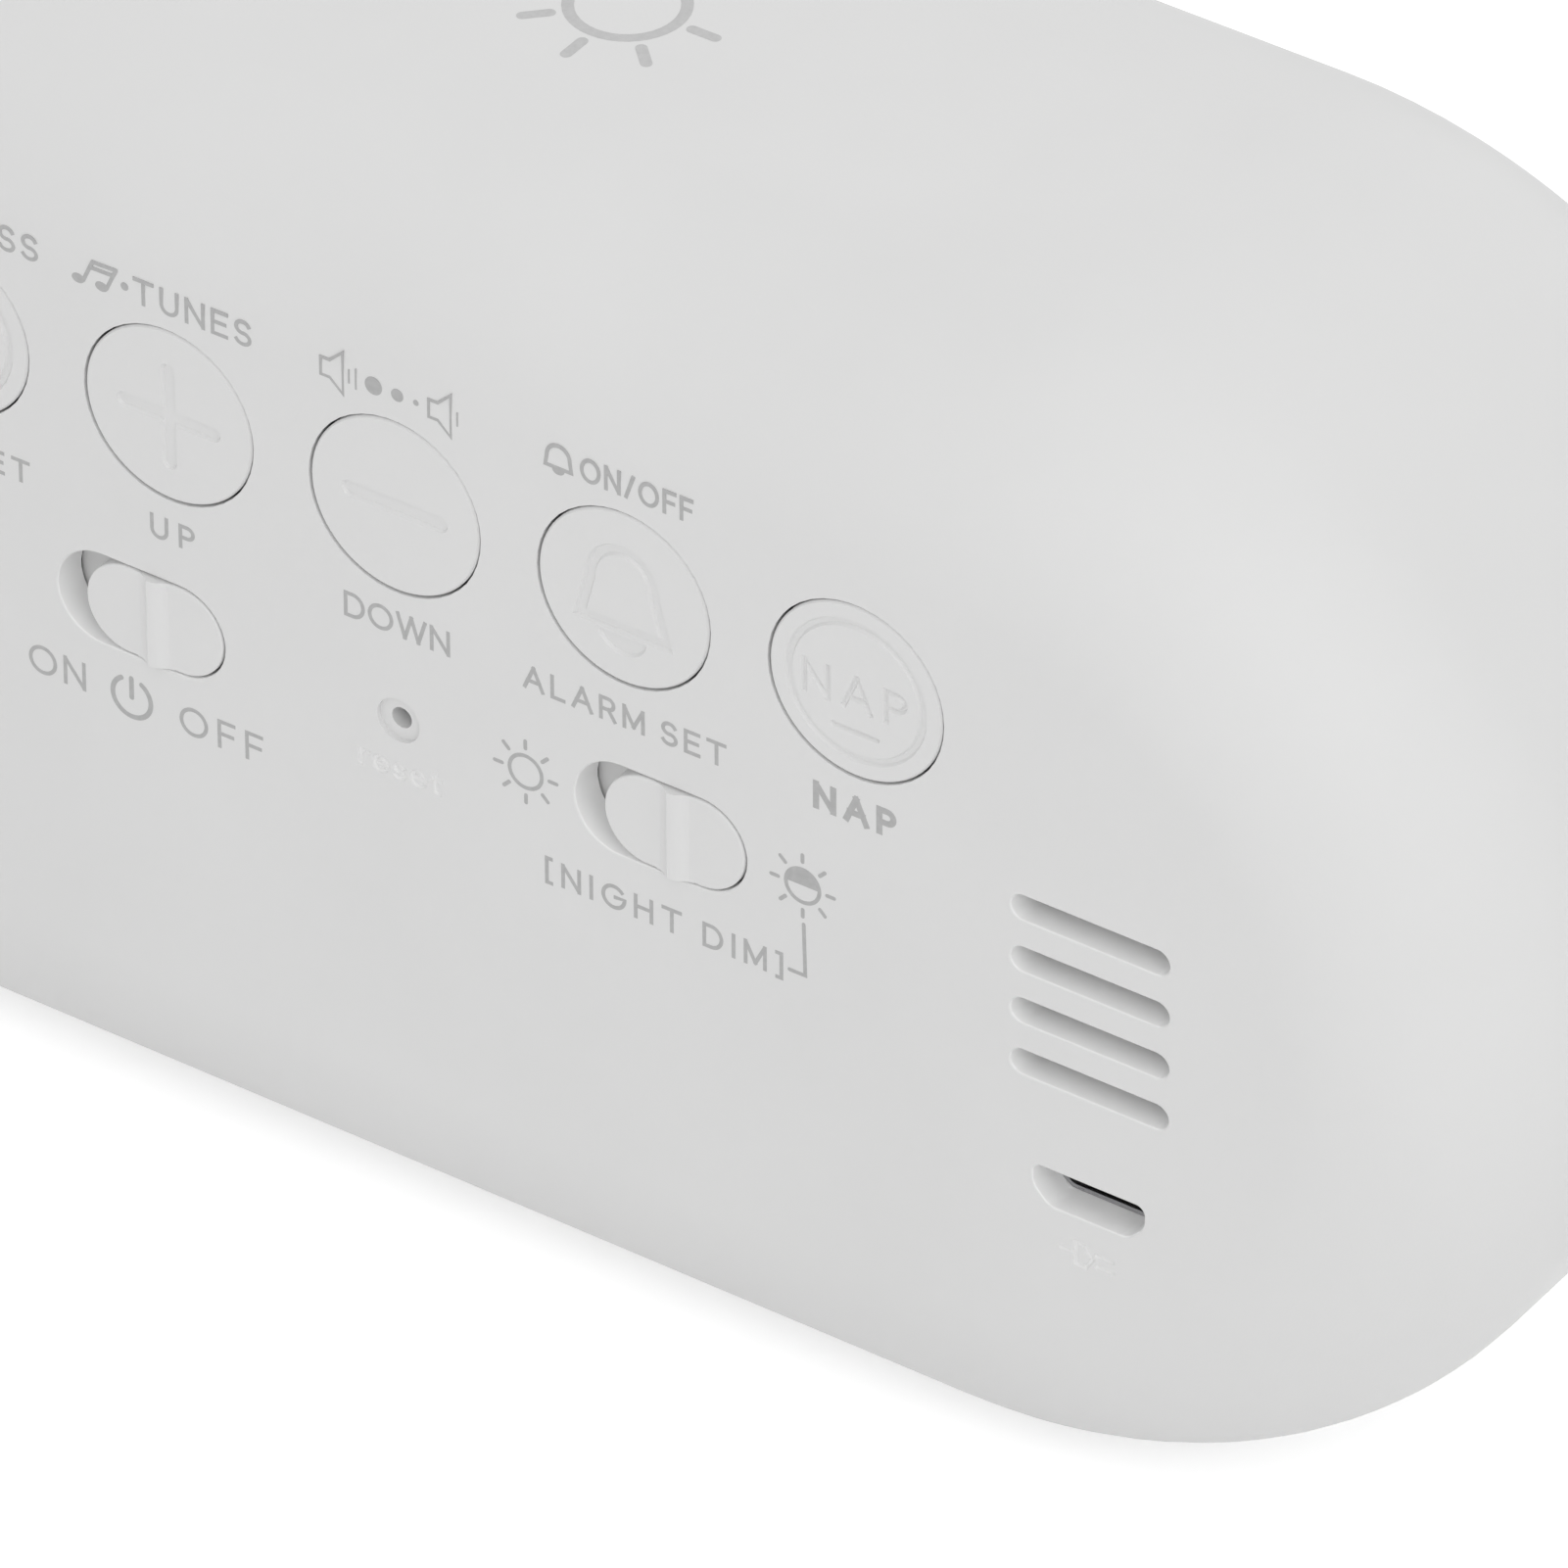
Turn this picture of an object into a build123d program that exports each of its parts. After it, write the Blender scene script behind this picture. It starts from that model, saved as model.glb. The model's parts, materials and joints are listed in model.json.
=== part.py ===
"""Night light alarm clock: a pill-shaped desk clock, written as one STEP file per piece.

Millimetres, +Z up. The display faces -Y and the control panel faces +Y. The origin is on the
table, under the middle of the body. Panel places run from the button row, which hangs from the top.
"""

import os

from build123d import *

# Body: a prism with round ends, soft along its rear edge and tighter along its front edge
body_width = 154.7
body_height = 78.6
body_depth = 46.4
wall = 2.4
rear_edge_radius = 14.0
front_edge_radius = 6.2
rim_width = 7.0
lip_depth = 3.2

# Clearances that every piece shares
fit_gap = 0.15
run_gap = 0.3
overrun = 1.0

# Feet
foot_diameter = 9.0
foot_height = 1.6
foot_drop = 1.0
foot_end_margin = 7.05
foot_margin = 0.4
foot_chamfer = 0.3

# Control panel: evenly spaced columns, with the speaker and the power socket in the end one
row_drop = 22.2
lower_drop = 15.65
button_names = ("time", "up", "down", "alarm", "nap")
button_spacing = 4.02
end_column_inset = 27.79
window_edge_radius = 0.15
slide_shift = 2.48
slide_travel = 2.0
reset_diameter = 1.45
reset_dimple_diameter = 3.1
reset_dimple_depth = 0.35

# Button caps
cap_chamfer = 0.12
cap_overlap = 0.85
cap_flange = 1.1
cap_core_wall = 1.5
cap_core_depth = 2.0
cap_stem_diameter = 4.0
button_travel = 0.5

# Slide knobs
knob_length = 10.1
knob_height = 6.3
knob_overlap = 1.0
knob_flange = 1.2
knob_edge_radius = 0.15
rib_height = 0.5
rib_root = 0.03
rib_crest_shift = 0.2
rib_hollow_width = 1.1
rib_slope_width = 1.6
fork_width = 4.0
fork_height = 1.5
rail_width = 1.0
rail_height = 2.0

# Push switches
tact_width = 6.2
tact_height = 3.5
tact_bore = 3.6
tact_bore_depth = 1.6
tact_fit = 0.1
plunger_proud = 1.1
reset_tact_width = 4.5
reset_bore = 2.0
reset_travel = 0.25
reset_guide_wall = 1.2
reset_guide_length = 1.8
reset_reach = 0.4

# Slide switches
switch_length = 8.6
switch_width = 4.4
switch_height = 4.7
lever_width = 1.6
lever_seat = 1.5
lever_grip = 1.1
lever_fit = 0.1

# Micro-USB socket
usb_drop = 30.5
usb_width = 7.9
usb_height = 2.7
usb_chamfer = 1.2
usb_chamfer_inset_share = 2 - 2**0.5
usb_top_radius = 0.6
usb_bottom_radius = 1.2
usb_least_radius = 0.1
usb_fit = 0.05
usb_recess = 2.3
usb_metal = 0.3
usb_depth = 5.5
usb_tongue_width = 3.8
usb_tongue_height = 0.7
usb_tongue_setback = 0.6

# Speaker behind its slots
speaker_drop = 16.4
speaker_diameter = 20.0
speaker_flange = 1.2
speaker_cup_diameter = 16.0
speaker_cup_depth = 1.8
speaker_seal_thickness = 0.8
speaker_seal_width = 1.5
speaker_seat_wall = 1.2
speaker_seat_height = 3.0
speaker_mouth_diameter = 14.6
speaker_throat_diameter = 7.0
cone_thickness = 0.4
cone_rim_width = 0.9
magnet_diameter = 12.0
magnet_thickness = 2.4
slot_count = 4
slot_length = 11.15
slot_height = 1.8
slot_pitch = 3.75

# Main board
board_thickness = 1.6
board_side_margin = 5.5
board_above_row = 13.1
board_over_cell = 0.8
board_corner_radius = 1.5
leg_margin = 6.4
leg_below_usb = 5.0
leg_above_usb = 3.0
boss_diameter = 5.5
boss_pilot = 2.0
boss_pilot_depth = 6.0
upper_boss_rise = 10.1
lower_boss_rise = 3.4
chip_width = 9.0
chip_thickness = 1.2
chip_side = 20.0
chip_drop = 9.0
crystal_length = 10.5
crystal_width = 4.4
crystal_height = 3.4
crystal_side = 18.0

# Screws
screw_shank = 1.9
screw_head = 4.0
screw_head_height = 1.4
screw_bite = 5.0
screw_hole = 2.4

# Front: diffuser ring, dark lens and the frame behind them
lens_end_margin = 18.35
lens_top_margin = 18.3
lens_thickness = 1.8
lens_ledge = 1.2
face_edge_radius = 0.6
locator_width = 1.2
locator_height = 1.5
frame_skirt = 1.6
frame_plate = 1.6
hook_width = 9.0
hook_reach = 1.4
hook_height = 1.6
hook_end_margin = 13.05
baffle_wall = 1.2

# Display: four digits in two pairs, with a colon between them
display_end_margin = 9.0
display_top_margin = 6.0
display_thickness = 7.0
display_setback = 0.6
display_corner_radius = 1.0
digit_end_margin = 10.0
digit_top_margin = 3.5
digit_gap = 7.0
colon_gap = 14.0
segment_width = 2.6
segment_gap = 0.5
segment_depth = 0.8
colon_diameter = 2.8
colon_span = 9.0
display_board_margin = 4.5
display_board_side = 8.0
display_pad_height = 0.8
display_pad_diameter = 6.0
display_screw_inset = 3.6
display_screw_bite = 2.0

# Night light
light_board_thickness = 1.0
led_length = 3.5
led_width = 2.8
led_height = 0.8
led_row_count = 5
led_row_inset = 37.35
led_row_setback = 15.7
led_end_inset = 19.35

# Battery
cell_diameter = 18.4
cell_end_inset = 44.75
cell_cap_diameter = 6.0
cell_cap_height = 0.8
cell_edge_radius = 1.0
cell_clear = 0.2
cradle_wall = 1.5
cradle_lift = 1.0
cradle_grip = 3.0
cradle_front_gap = 0.3
contact_thickness = 1.0
contact_width = 7.0
contact_rise = 1.4
ear_boss_height = 4.0
ear_thickness = 1.5
ear_reach = 4.2
ear_width = 7.0

# Touch sensor, leads and ribbon
touch_setback = 24.35
touch_diameter = 14.0
touch_thickness = 0.4
lead_diameter = 1.2
lead_bend_share = 0.45
touch_lead_drop = 11.0
battery_lead_rise = 9.0
speaker_lead_diameter = 1.0
speaker_lead_offset = 7.0
speaker_lead_spacing = 3.0
speaker_lead_inset = 2.0
ribbon_width = 12.0
ribbon_thickness = 0.3
ribbon_sag = 6.0
ribbon_bend = 8.0
ribbon_drop = 5.0

# Planes and places worked out from the sizes above
body_bottom = foot_drop
body_top = body_bottom + body_height
body_mid = body_bottom + body_height / 2
rear_face = body_depth / 2
front_face = -rear_face
rear_inner = rear_face - wall
mid_wall = rear_face - wall / 2
lip_inner = front_face + lip_depth
floor_inner = body_bottom + wall
roof_inner = body_top - wall
straight_length = body_width - body_height
foot_span = straight_length - 2 * foot_end_margin

button_row = body_top - row_drop
lower_row = button_row - lower_drop
usb_level = button_row - usb_drop
speaker_level = button_row - speaker_drop
row_middle = (len(button_names) - 1) / 2
end_column = end_column_inset - body_width / 2
button_pitch = -end_column / (row_middle + 1)
button_diameter = button_pitch - button_spacing
button_places = [(row_middle - index) * button_pitch for index in range(len(button_names))]
slide_offset = button_pitch + slide_shift

cap_flange_low = rear_inner - run_gap - cap_flange
knob_flange_low = rear_inner - run_gap - knob_flange
board_rear = knob_flange_low - fork_height - run_gap - switch_height
board_front = board_rear - board_thickness
plunger_top = board_rear + tact_height + plunger_proud
switch_top = board_rear + switch_height
lever_top = knob_flange_low + lever_grip
reset_top = rear_inner - reset_guide_length - reset_reach
usb_mouth = rear_face - usb_recess
speaker_front = rear_inner - speaker_seal_thickness
speaker_back = speaker_front - speaker_flange - speaker_cup_depth

frame_inset = rim_width + fit_gap
hook_span = straight_length - 2 * hook_end_margin
lens_width = body_width - 2 * lens_end_margin
lens_height = body_height - 2 * lens_top_margin
lens_back = front_face + lens_thickness
display_width = lens_width - 2 * display_end_margin
display_height = lens_height - 2 * display_top_margin
digit_width = (display_width - 2 * digit_end_margin - 2 * digit_gap - colon_gap) / 4
digit_height = display_height - 2 * digit_top_margin
inner_digit = (colon_gap + digit_width) / 2
outer_digit = inner_digit + digit_width + digit_gap
digit_places = (-outer_digit, -inner_digit, inner_digit, outer_digit)
led_row_span = body_width - 2 * led_row_inset
led_row_offset = body_height / 2 - led_row_setback
led_end_offset = body_width / 2 - led_end_inset
display_front = lens_back + display_setback
display_rear = display_front + display_thickness
display_board_rear = display_rear + board_thickness
frame_rear = display_rear - display_pad_height
frame_front = frame_rear - frame_plate
light_front = frame_front - light_board_thickness

cell_radius = cell_diameter / 2
cradle_inner = cell_radius + cell_clear
cradle_outer = cradle_inner + cradle_wall
cell_y = display_board_rear + cradle_front_gap + cradle_outer
cell_z = floor_inner + cradle_lift + cradle_outer
cell_end = body_width / 2 - cell_end_inset
contact_end = cell_end + contact_thickness
cradle_end = contact_end + cradle_wall
ear_place = cradle_end + ear_reach
ear_low = floor_inner + ear_boss_height
contact_top = cell_z + cell_radius + contact_rise

board_bottom = cell_z + cell_radius + board_over_cell
board_top = button_row + board_above_row
board_side = button_places[0] + board_side_margin
boss_places = [
    (side * place, level)
    for side in (1, -1)
    for place, level in (
        ((button_places[0] + button_places[1]) / 2, button_row + upper_boss_rise),
        (button_places[0], board_bottom + lower_boss_rise),
    )
]
slide_places = {"power": slide_offset, "dimmer": -slide_offset}
knob_shift = -slide_travel / 2
touch_y = rear_face - touch_setback


def at(x, z, sketch):
    """Place a sketch at X and Z."""
    return Pos(x, z) * sketch


def across(sketch, y_low, y_high):
    """Extrude a sketch, drawn in X and Z as seen from the front, between two depths."""
    plane = Plane(origin=(0, y_high, 0), x_dir=(1, 0, 0), z_dir=(0, -1, 0))
    return extrude(plane * sketch, y_high - y_low)


def along(sketch, x_low, x_high):
    """Extrude a sketch, drawn in Y and Z, between two places along X."""
    plane = Plane(origin=(x_low, 0, 0), x_dir=(0, 1, 0), z_dir=(1, 0, 0))
    return extrude(plane * sketch, x_high - x_low)


def upright(x, y, radius, z_low, z_high):
    """A round peg that stands along Z."""
    return Pos(x, y, z_low) * extrude(Circle(radius), z_high - z_low)


def box(x_low, x_high, y_low, y_high, z_low, z_high):
    """A block between two corners."""
    size = (x_high - x_low, y_high - y_low, z_high - z_low)
    return Pos(x_low, y_low, z_low) * Box(*size, align=(Align.MIN, Align.MIN, Align.MIN))


def pill(inset):
    """The body's outline, drawn in by an inset."""
    return at(0, body_mid, SlotOverall(body_width - 2 * inset, body_height - 2 * inset))


def soft_pill(inset, y_low, y_high, front_radius, rear_radius):
    """A prism on the body's outline with both edges rounded."""
    block = across(pill(inset), y_low, y_high)
    block = fillet(block.edges().group_by(Axis.Y)[-1], rear_radius)
    return fillet(block.edges().group_by(Axis.Y)[0], front_radius)


def usb_outline(inset):
    """The socket's outline: both lower corners cut off, every corner rounded, drawn in by an inset."""
    side = usb_width / 2 - inset
    top = usb_height / 2 - inset
    cut = usb_chamfer - inset * usb_chamfer_inset_share
    corners = [
        (-side, top),
        (-side, cut - top),
        (cut - side, -top),
        (side - cut, -top),
        (side, cut - top),
        (side, top),
    ]
    outline = Polygon(*corners, align=None)
    rows = outline.vertices().group_by(Axis.Y)
    outline = fillet(rows[0] + rows[1], max(usb_bottom_radius - inset, usb_least_radius))
    return fillet(outline.vertices().group_by(Axis.Y)[-1], max(usb_top_radius - inset, usb_least_radius))


def slide_opening():
    """The round-ended window that a slide knob travels in."""
    return SlotOverall(knob_length + slide_travel + 2 * fit_gap, knob_height + 2 * fit_gap)


def screw(length):
    """A pan-head screw whose seat is at zero, with its shank along +Z."""
    head = Pos(0, 0, -screw_head_height) * extrude(Circle(screw_head / 2), screw_head_height)
    return head + extrude(Circle(screw_shank / 2), length)


def screw_at(x, y, z, direction, length):
    """A screw seated at a point and driven along a direction."""
    return Plane(origin=(x, y, z), z_dir=direction) * screw(length)


def round_lead(points, diameter):
    """A wire of one diameter along straight runs, with each corner as round as its runs allow."""
    spots = [Vector(*point) for point in points]
    runs = [(after - before).length for before, after in zip(spots, spots[1:])]
    bends = [lead_bend_share * min(pair) for pair in zip(runs, runs[1:])]
    path = FilletPolyline(*points, radius=bends)
    return sweep(Plane(origin=path @ 0, z_dir=path % 0) * Circle(diameter / 2), path=path)


def rear_shell():
    """Rear, top, sides and bottom in one moulding, with its openings, bosses, rails and seats."""
    outer = soft_pill(0, front_face, rear_face, front_edge_radius, rear_edge_radius)
    cavity = soft_pill(wall, lip_inner, rear_inner, front_edge_radius - wall, rear_edge_radius - wall)
    shell = outer - cavity
    shell -= across(pill(rim_width), front_face - overrun, lip_inner + overrun)

    inside = Part()
    for x, z in boss_places:
        inside += across(at(x, z, Circle(boss_diameter / 2)), board_rear, mid_wall)
    seat_radius = speaker_diameter / 2 + fit_gap
    seat = Circle(seat_radius + speaker_seat_wall) - Circle(seat_radius)
    seat = at(end_column, speaker_level, seat)
    inside += across(seat, rear_inner - speaker_seat_height, mid_wall)
    guide = Circle(reset_diameter / 2 + reset_guide_wall)
    inside += across(at(0, lower_row, guide), rear_inner - reset_guide_length, mid_wall)
    rail_offset = knob_height / 2 + fit_gap + knob_overlap + run_gap + rail_width / 2
    rail_length = knob_length + 2 * (slide_travel + 2 * fit_gap + knob_overlap)
    for x in slide_places.values():
        for side in (1, -1):
            rail = at(x, lower_row + side * rail_offset, Rectangle(rail_length, rail_width))
            inside += across(rail, rear_inner - rail_height, mid_wall)
    for side in (1, -1):
        inside += upright(side * ear_place, cell_y, boss_diameter / 2, body_bottom + wall / 2, ear_low)
    shell += inside & outer

    for x, z in boss_places:
        pilot = at(x, z, Circle(boss_pilot / 2))
        shell -= across(pilot, board_rear - overrun, board_rear + boss_pilot_depth)
    for side in (1, -1):
        shell -= upright(side * ear_place, cell_y, boss_pilot / 2, floor_inner, ear_low + overrun)

    windows = Sketch()
    for x in slide_places.values():
        windows += at(x, lower_row, slide_opening())
    for index in range(slot_count):
        level = speaker_level + ((slot_count - 1) / 2 - index) * slot_pitch
        windows += at(end_column, level, SlotOverall(slot_length, slot_height))
    windows += at(end_column, usb_level, usb_outline(0))
    shell -= across(windows, rear_inner - overrun, rear_face + overrun)
    rims = shell.edges().filter_by_position(Axis.Y, rear_face, rear_face)
    shell = fillet(rims.filter_by(is_window_edge), window_edge_radius)
    holes = Sketch()
    for x in button_places:
        holes += at(x, button_row, Circle(button_diameter / 2))
    shell -= across(holes, rear_inner - overrun, rear_face + overrun)
    pinhole = at(0, lower_row, Circle(reset_diameter / 2))
    shell -= across(pinhole, rear_inner - reset_guide_length, rear_face + overrun)
    dimple = at(0, lower_row, Circle(reset_dimple_diameter / 2))
    shell -= across(dimple, rear_face - reset_dimple_depth, rear_face + overrun)

    for x, y in foot_places():
        shell -= upright(x, y, foot_diameter / 2 + fit_gap, body_bottom - overrun, foot_height)
    return shell


def is_window_edge(edge):
    """Whether an edge on the rear face belongs to a window and not to the face's own outline."""
    spot = edge.center(CenterOf.BOUNDING_BOX)
    flat_half = body_height / 2 - rear_edge_radius
    reach = abs(spot.Z - body_mid)
    if abs(spot.X) > body_width / 2 - body_height / 2:
        reach = Vector(abs(spot.X) - body_width / 2 + body_height / 2, spot.Z - body_mid).length
    return reach < flat_half - window_edge_radius


def foot_places():
    """Centres of the four feet, on the flat part of the underside."""
    rear = rear_face - rear_edge_radius - foot_diameter / 2 - foot_margin
    front = front_face + front_edge_radius + foot_diameter / 2 + foot_margin
    return [(side * foot_span / 2, y) for side in (1, -1) for y in (front, rear)]


def rubber_feet():
    """Four round pads, each let into its pocket."""
    pads = Part()
    for x, y in foot_places():
        pad = upright(x, y, foot_diameter / 2, 0, foot_height)
        pads += chamfer(pad.edges().group_by(Axis.Z)[0], foot_chamfer)
    return pads


def button_cap(x):
    """A flush cap, cored from behind, with a retaining flange and a stem down to its switch."""
    radius = button_diameter / 2 - fit_gap
    cap = across(at(x, button_row, Circle(radius)), cap_flange_low, rear_face)
    cap = chamfer(cap.edges().group_by(Axis.Y)[-1], cap_chamfer)
    flange = at(x, button_row, Circle(radius + cap_overlap))
    cap += across(flange, cap_flange_low, cap_flange_low + cap_flange)
    core = Circle(radius - cap_core_wall) - Circle(cap_stem_diameter / 2)
    cap -= across(at(x, button_row, core), cap_flange_low - overrun, cap_flange_low + cap_core_depth)
    stem = at(x, button_row, Circle(cap_stem_diameter / 2))
    return cap + across(stem, plunger_top, cap_flange_low + cap_flange)


def tact_body(x, z, width, bore):
    """A square push-switch case with the bore that its plunger sinks into."""
    case = across(at(x, z, Rectangle(width, width)), board_rear, board_rear + tact_height)
    floor = board_rear + tact_height - tact_bore_depth
    return case - across(at(x, z, Circle(bore / 2)), floor, board_rear + tact_height + overrun)


def tact_plunger(x, z, bore, travel, top):
    """The plunger of a push switch, with room below for its travel."""
    low = board_rear + tact_height - tact_bore_depth + travel + fit_gap
    return across(at(x, z, Circle(bore / 2 - tact_fit)), low, top)


def slide_knob(x):
    """A slide knob: flange behind the wall, round-ended pad, cross rib and a fork for the lever."""
    centre = x + knob_shift
    pad = at(centre, lower_row, SlotOverall(knob_length, knob_height))
    pad = across(pad, knob_flange_low, rear_face)
    pad = fillet(pad.edges().group_by(Axis.Y)[-1], knob_edge_radius)
    spread = slide_travel + 2 * fit_gap + knob_overlap
    length = knob_length + 2 * spread - slide_travel
    plate = Rectangle(length, knob_height + 2 * (fit_gap + knob_overlap))
    flange = across(at(centre, lower_row, plate), knob_flange_low, knob_flange_low + knob_flange)
    fork = at(centre, lower_row, Rectangle(fork_width, fork_width))
    fork = across(fork, switch_top + run_gap, knob_flange_low)
    pocket = Rectangle(lever_width + 2 * lever_fit, lever_width + 2 * lever_fit)
    pocket = across(at(centre, lower_row, pocket), switch_top, lever_top + fit_gap)
    return pad + knob_rib(centre) + flange + fork - pocket


def knob_rib(centre):
    """The thumb rib across a slide knob: a hollow flank up to its crest, and a soft slope down behind."""
    crest = (rib_crest_shift, rear_face + rib_height)
    root = rear_face - rib_root
    hollow_foot = (rib_crest_shift + rib_hollow_width, root)
    slope_foot = (rib_crest_shift - rib_slope_width, root)
    turn = (rib_crest_shift - rib_slope_width / 2, rear_face + rib_height / 2)
    hollow = TangentArc(hollow_foot, crest, tangent=(-1, 0))
    shoulder = TangentArc(crest, turn, tangent=(-1, 0))
    tail = TangentArc(slope_foot, turn, tangent=(1, 0))
    below = Polyline(slope_foot, (slope_foot[0], rear_inner), (hollow_foot[0], rear_inner), hollow_foot)
    profile = make_face(hollow + shoulder + tail + below)
    return Pos(centre, 0, lower_row - knob_height / 2) * extrude(profile, knob_height)


def slide_switch(x):
    """A slide-switch case with the slot that its lever travels in."""
    case = across(at(x, lower_row, Rectangle(switch_length, switch_width)), board_rear, switch_top)
    slot = Rectangle(lever_width + slide_travel + 2 * lever_fit, lever_width + 2 * lever_fit)
    return case - across(at(x, lower_row, slot), switch_top - lever_seat - lever_fit, switch_top + overrun)


def slide_lever(x):
    """The lever that stands out of a slide switch into its knob."""
    section = at(x + knob_shift, lower_row, Rectangle(lever_width, lever_width))
    return across(section, switch_top - lever_seat, lever_top)


def usb_shell():
    """The socket's metal case, standing on the main board, with its mouth inside the wall's opening."""
    case = across(at(end_column, usb_level, usb_outline(usb_fit)), board_rear, usb_mouth)
    bore = at(end_column, usb_level, usb_outline(usb_fit + usb_metal))
    return case - across(bore, usb_mouth - usb_depth, usb_mouth + overrun)


def usb_tongue():
    """The contact tongue on the floor of the socket."""
    tongue = at(end_column, usb_level, Rectangle(usb_tongue_width, usb_tongue_height))
    return across(tongue, usb_mouth - usb_depth, usb_mouth - usb_tongue_setback)


def turned(profile, x, z):
    """Revolve a profile of radius and depth about a line along Y."""
    plane = Plane(origin=(x, 0, z), x_dir=(1, 0, 0), z_dir=(0, 0, 1))
    return revolve(plane * profile, axis=Axis((x, 0, z), (0, 1, 0)))


def speaker_seal():
    """A foam ring between the speaker and the wall."""
    ring = Circle(speaker_diameter / 2) - Circle(speaker_diameter / 2 - speaker_seal_width)
    return across(at(end_column, speaker_level, ring), speaker_front, rear_inner)


def speaker_frame():
    """A stepped basket with a conical mouth."""
    rim = speaker_diameter / 2
    cup = speaker_cup_diameter / 2
    mouth = speaker_mouth_diameter / 2
    throat = speaker_throat_diameter / 2
    step = speaker_front - speaker_flange
    corners = [
        (throat, speaker_back),
        (cup, speaker_back),
        (cup, step),
        (rim, step),
        (rim, speaker_front),
        (mouth, speaker_front),
    ]
    return turned(Polygon(*corners, align=None), end_column, speaker_level)


def speaker_cone():
    """A thin cone that hangs by its rim on the basket's front, with a closed middle."""
    mouth = speaker_mouth_diameter / 2
    throat = speaker_throat_diameter / 2
    rim = mouth + cone_rim_width
    corners = [
        (0, speaker_back + cone_thickness),
        (throat, speaker_back + cone_thickness),
        (mouth, speaker_front),
        (rim, speaker_front),
        (rim, speaker_front + cone_thickness),
        (mouth - cone_thickness, speaker_front + cone_thickness),
        (throat - cone_thickness, speaker_back + 2 * cone_thickness),
        (0, speaker_back + 2 * cone_thickness),
    ]
    return turned(Polygon(*corners, align=None), end_column, speaker_level)


def speaker_magnet():
    """The round magnet behind the basket."""
    disc = at(end_column, speaker_level, Circle(magnet_diameter / 2))
    return across(disc, speaker_back - magnet_thickness, speaker_back)


def speaker_leads():
    """Two wires from the basket's back to the main board's rear face."""
    wires = Part()
    start = end_column + speaker_lead_offset
    finish = -board_side + speaker_lead_inset
    turn = (speaker_back + board_rear) / 2
    for side in (1, -1):
        z = speaker_level + side * speaker_lead_spacing / 2
        route = [(start, speaker_back, z), (start, turn, z), (finish, turn, z), (finish, board_rear, z)]
        wires += round_lead(route, speaker_lead_diameter)
    return wires


def main_board():
    """The control board: a plate behind the buttons with a leg that carries the power socket."""
    plate = RectangleRounded(2 * board_side, board_top - board_bottom, board_corner_radius)
    outline = at(0, (board_top + board_bottom) / 2, plate)
    leg_low = usb_level - leg_below_usb
    leg_high = max(usb_level, board_bottom) + leg_above_usb
    leg_start = end_column - leg_margin
    leg_finish = -board_side + leg_margin
    leg = RectangleRounded(leg_finish - leg_start, leg_high - leg_low, board_corner_radius)
    outline += at((leg_start + leg_finish) / 2, (leg_low + leg_high) / 2, leg)
    for x, z in boss_places:
        outline -= at(x, z, Circle(screw_hole / 2))
    return across(outline, board_front, board_rear)


def main_board_screws():
    """Screws through the main board into the shell's bosses."""
    screws = Part()
    for x, z in boss_places:
        screws += screw_at(x, board_front, z, (0, 1, 0), board_thickness + screw_bite)
    return screws


def control_chip():
    """The controller on the main board's front."""
    chip = at(chip_side, button_row - chip_drop, Rectangle(chip_width, chip_width))
    return across(chip, board_front - chip_thickness, board_front)


def timing_crystal():
    """The quartz can that times the clock."""
    can = at(-crystal_side, button_row - chip_drop, SlotOverall(crystal_length, crystal_width))
    return across(can, board_front - crystal_height, board_front)


def lens_outline(inset):
    """The dark window's outline, drawn in by an inset."""
    return at(0, body_mid, SlotOverall(lens_width - 2 * inset, lens_height - 2 * inset))


def night_light_diffuser():
    """A milky ring, flush in the shell's front, with a lens ledge and a rib that finds the frame."""
    ring = across(pill(frame_inset), front_face, lip_inner)
    ring = fillet(ring.edges().group_by(Axis.Y)[0], face_edge_radius)
    ring -= across(lens_outline(0), front_face - overrun, lens_back)
    ring -= across(lens_outline(lens_ledge), front_face, lip_inner + overrun)
    locator_inset = frame_inset + frame_skirt + fit_gap
    locator = pill(locator_inset) - pill(locator_inset + locator_width)
    return ring + across(locator, lip_inner, lip_inner + locator_height)


def display_lens():
    """A dark window that sits on the diffuser's ledge."""
    lens = across(lens_outline(fit_gap), front_face, lens_back)
    return fillet(lens.edges().group_by(Axis.Y)[0], face_edge_radius)


def display_window(margin):
    """A rectangle round the digit block."""
    return at(0, body_mid, Rectangle(display_width + 2 * margin, display_height + 2 * margin))


def display_screw_places():
    """Centres of the display board's screws."""
    x = display_width / 2 + display_board_side - display_screw_inset
    z = display_height / 2 + display_board_margin - display_screw_inset
    return [(sx * x, body_mid + sz * z) for sx in (1, -1) for sz in (1, -1)]


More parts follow.
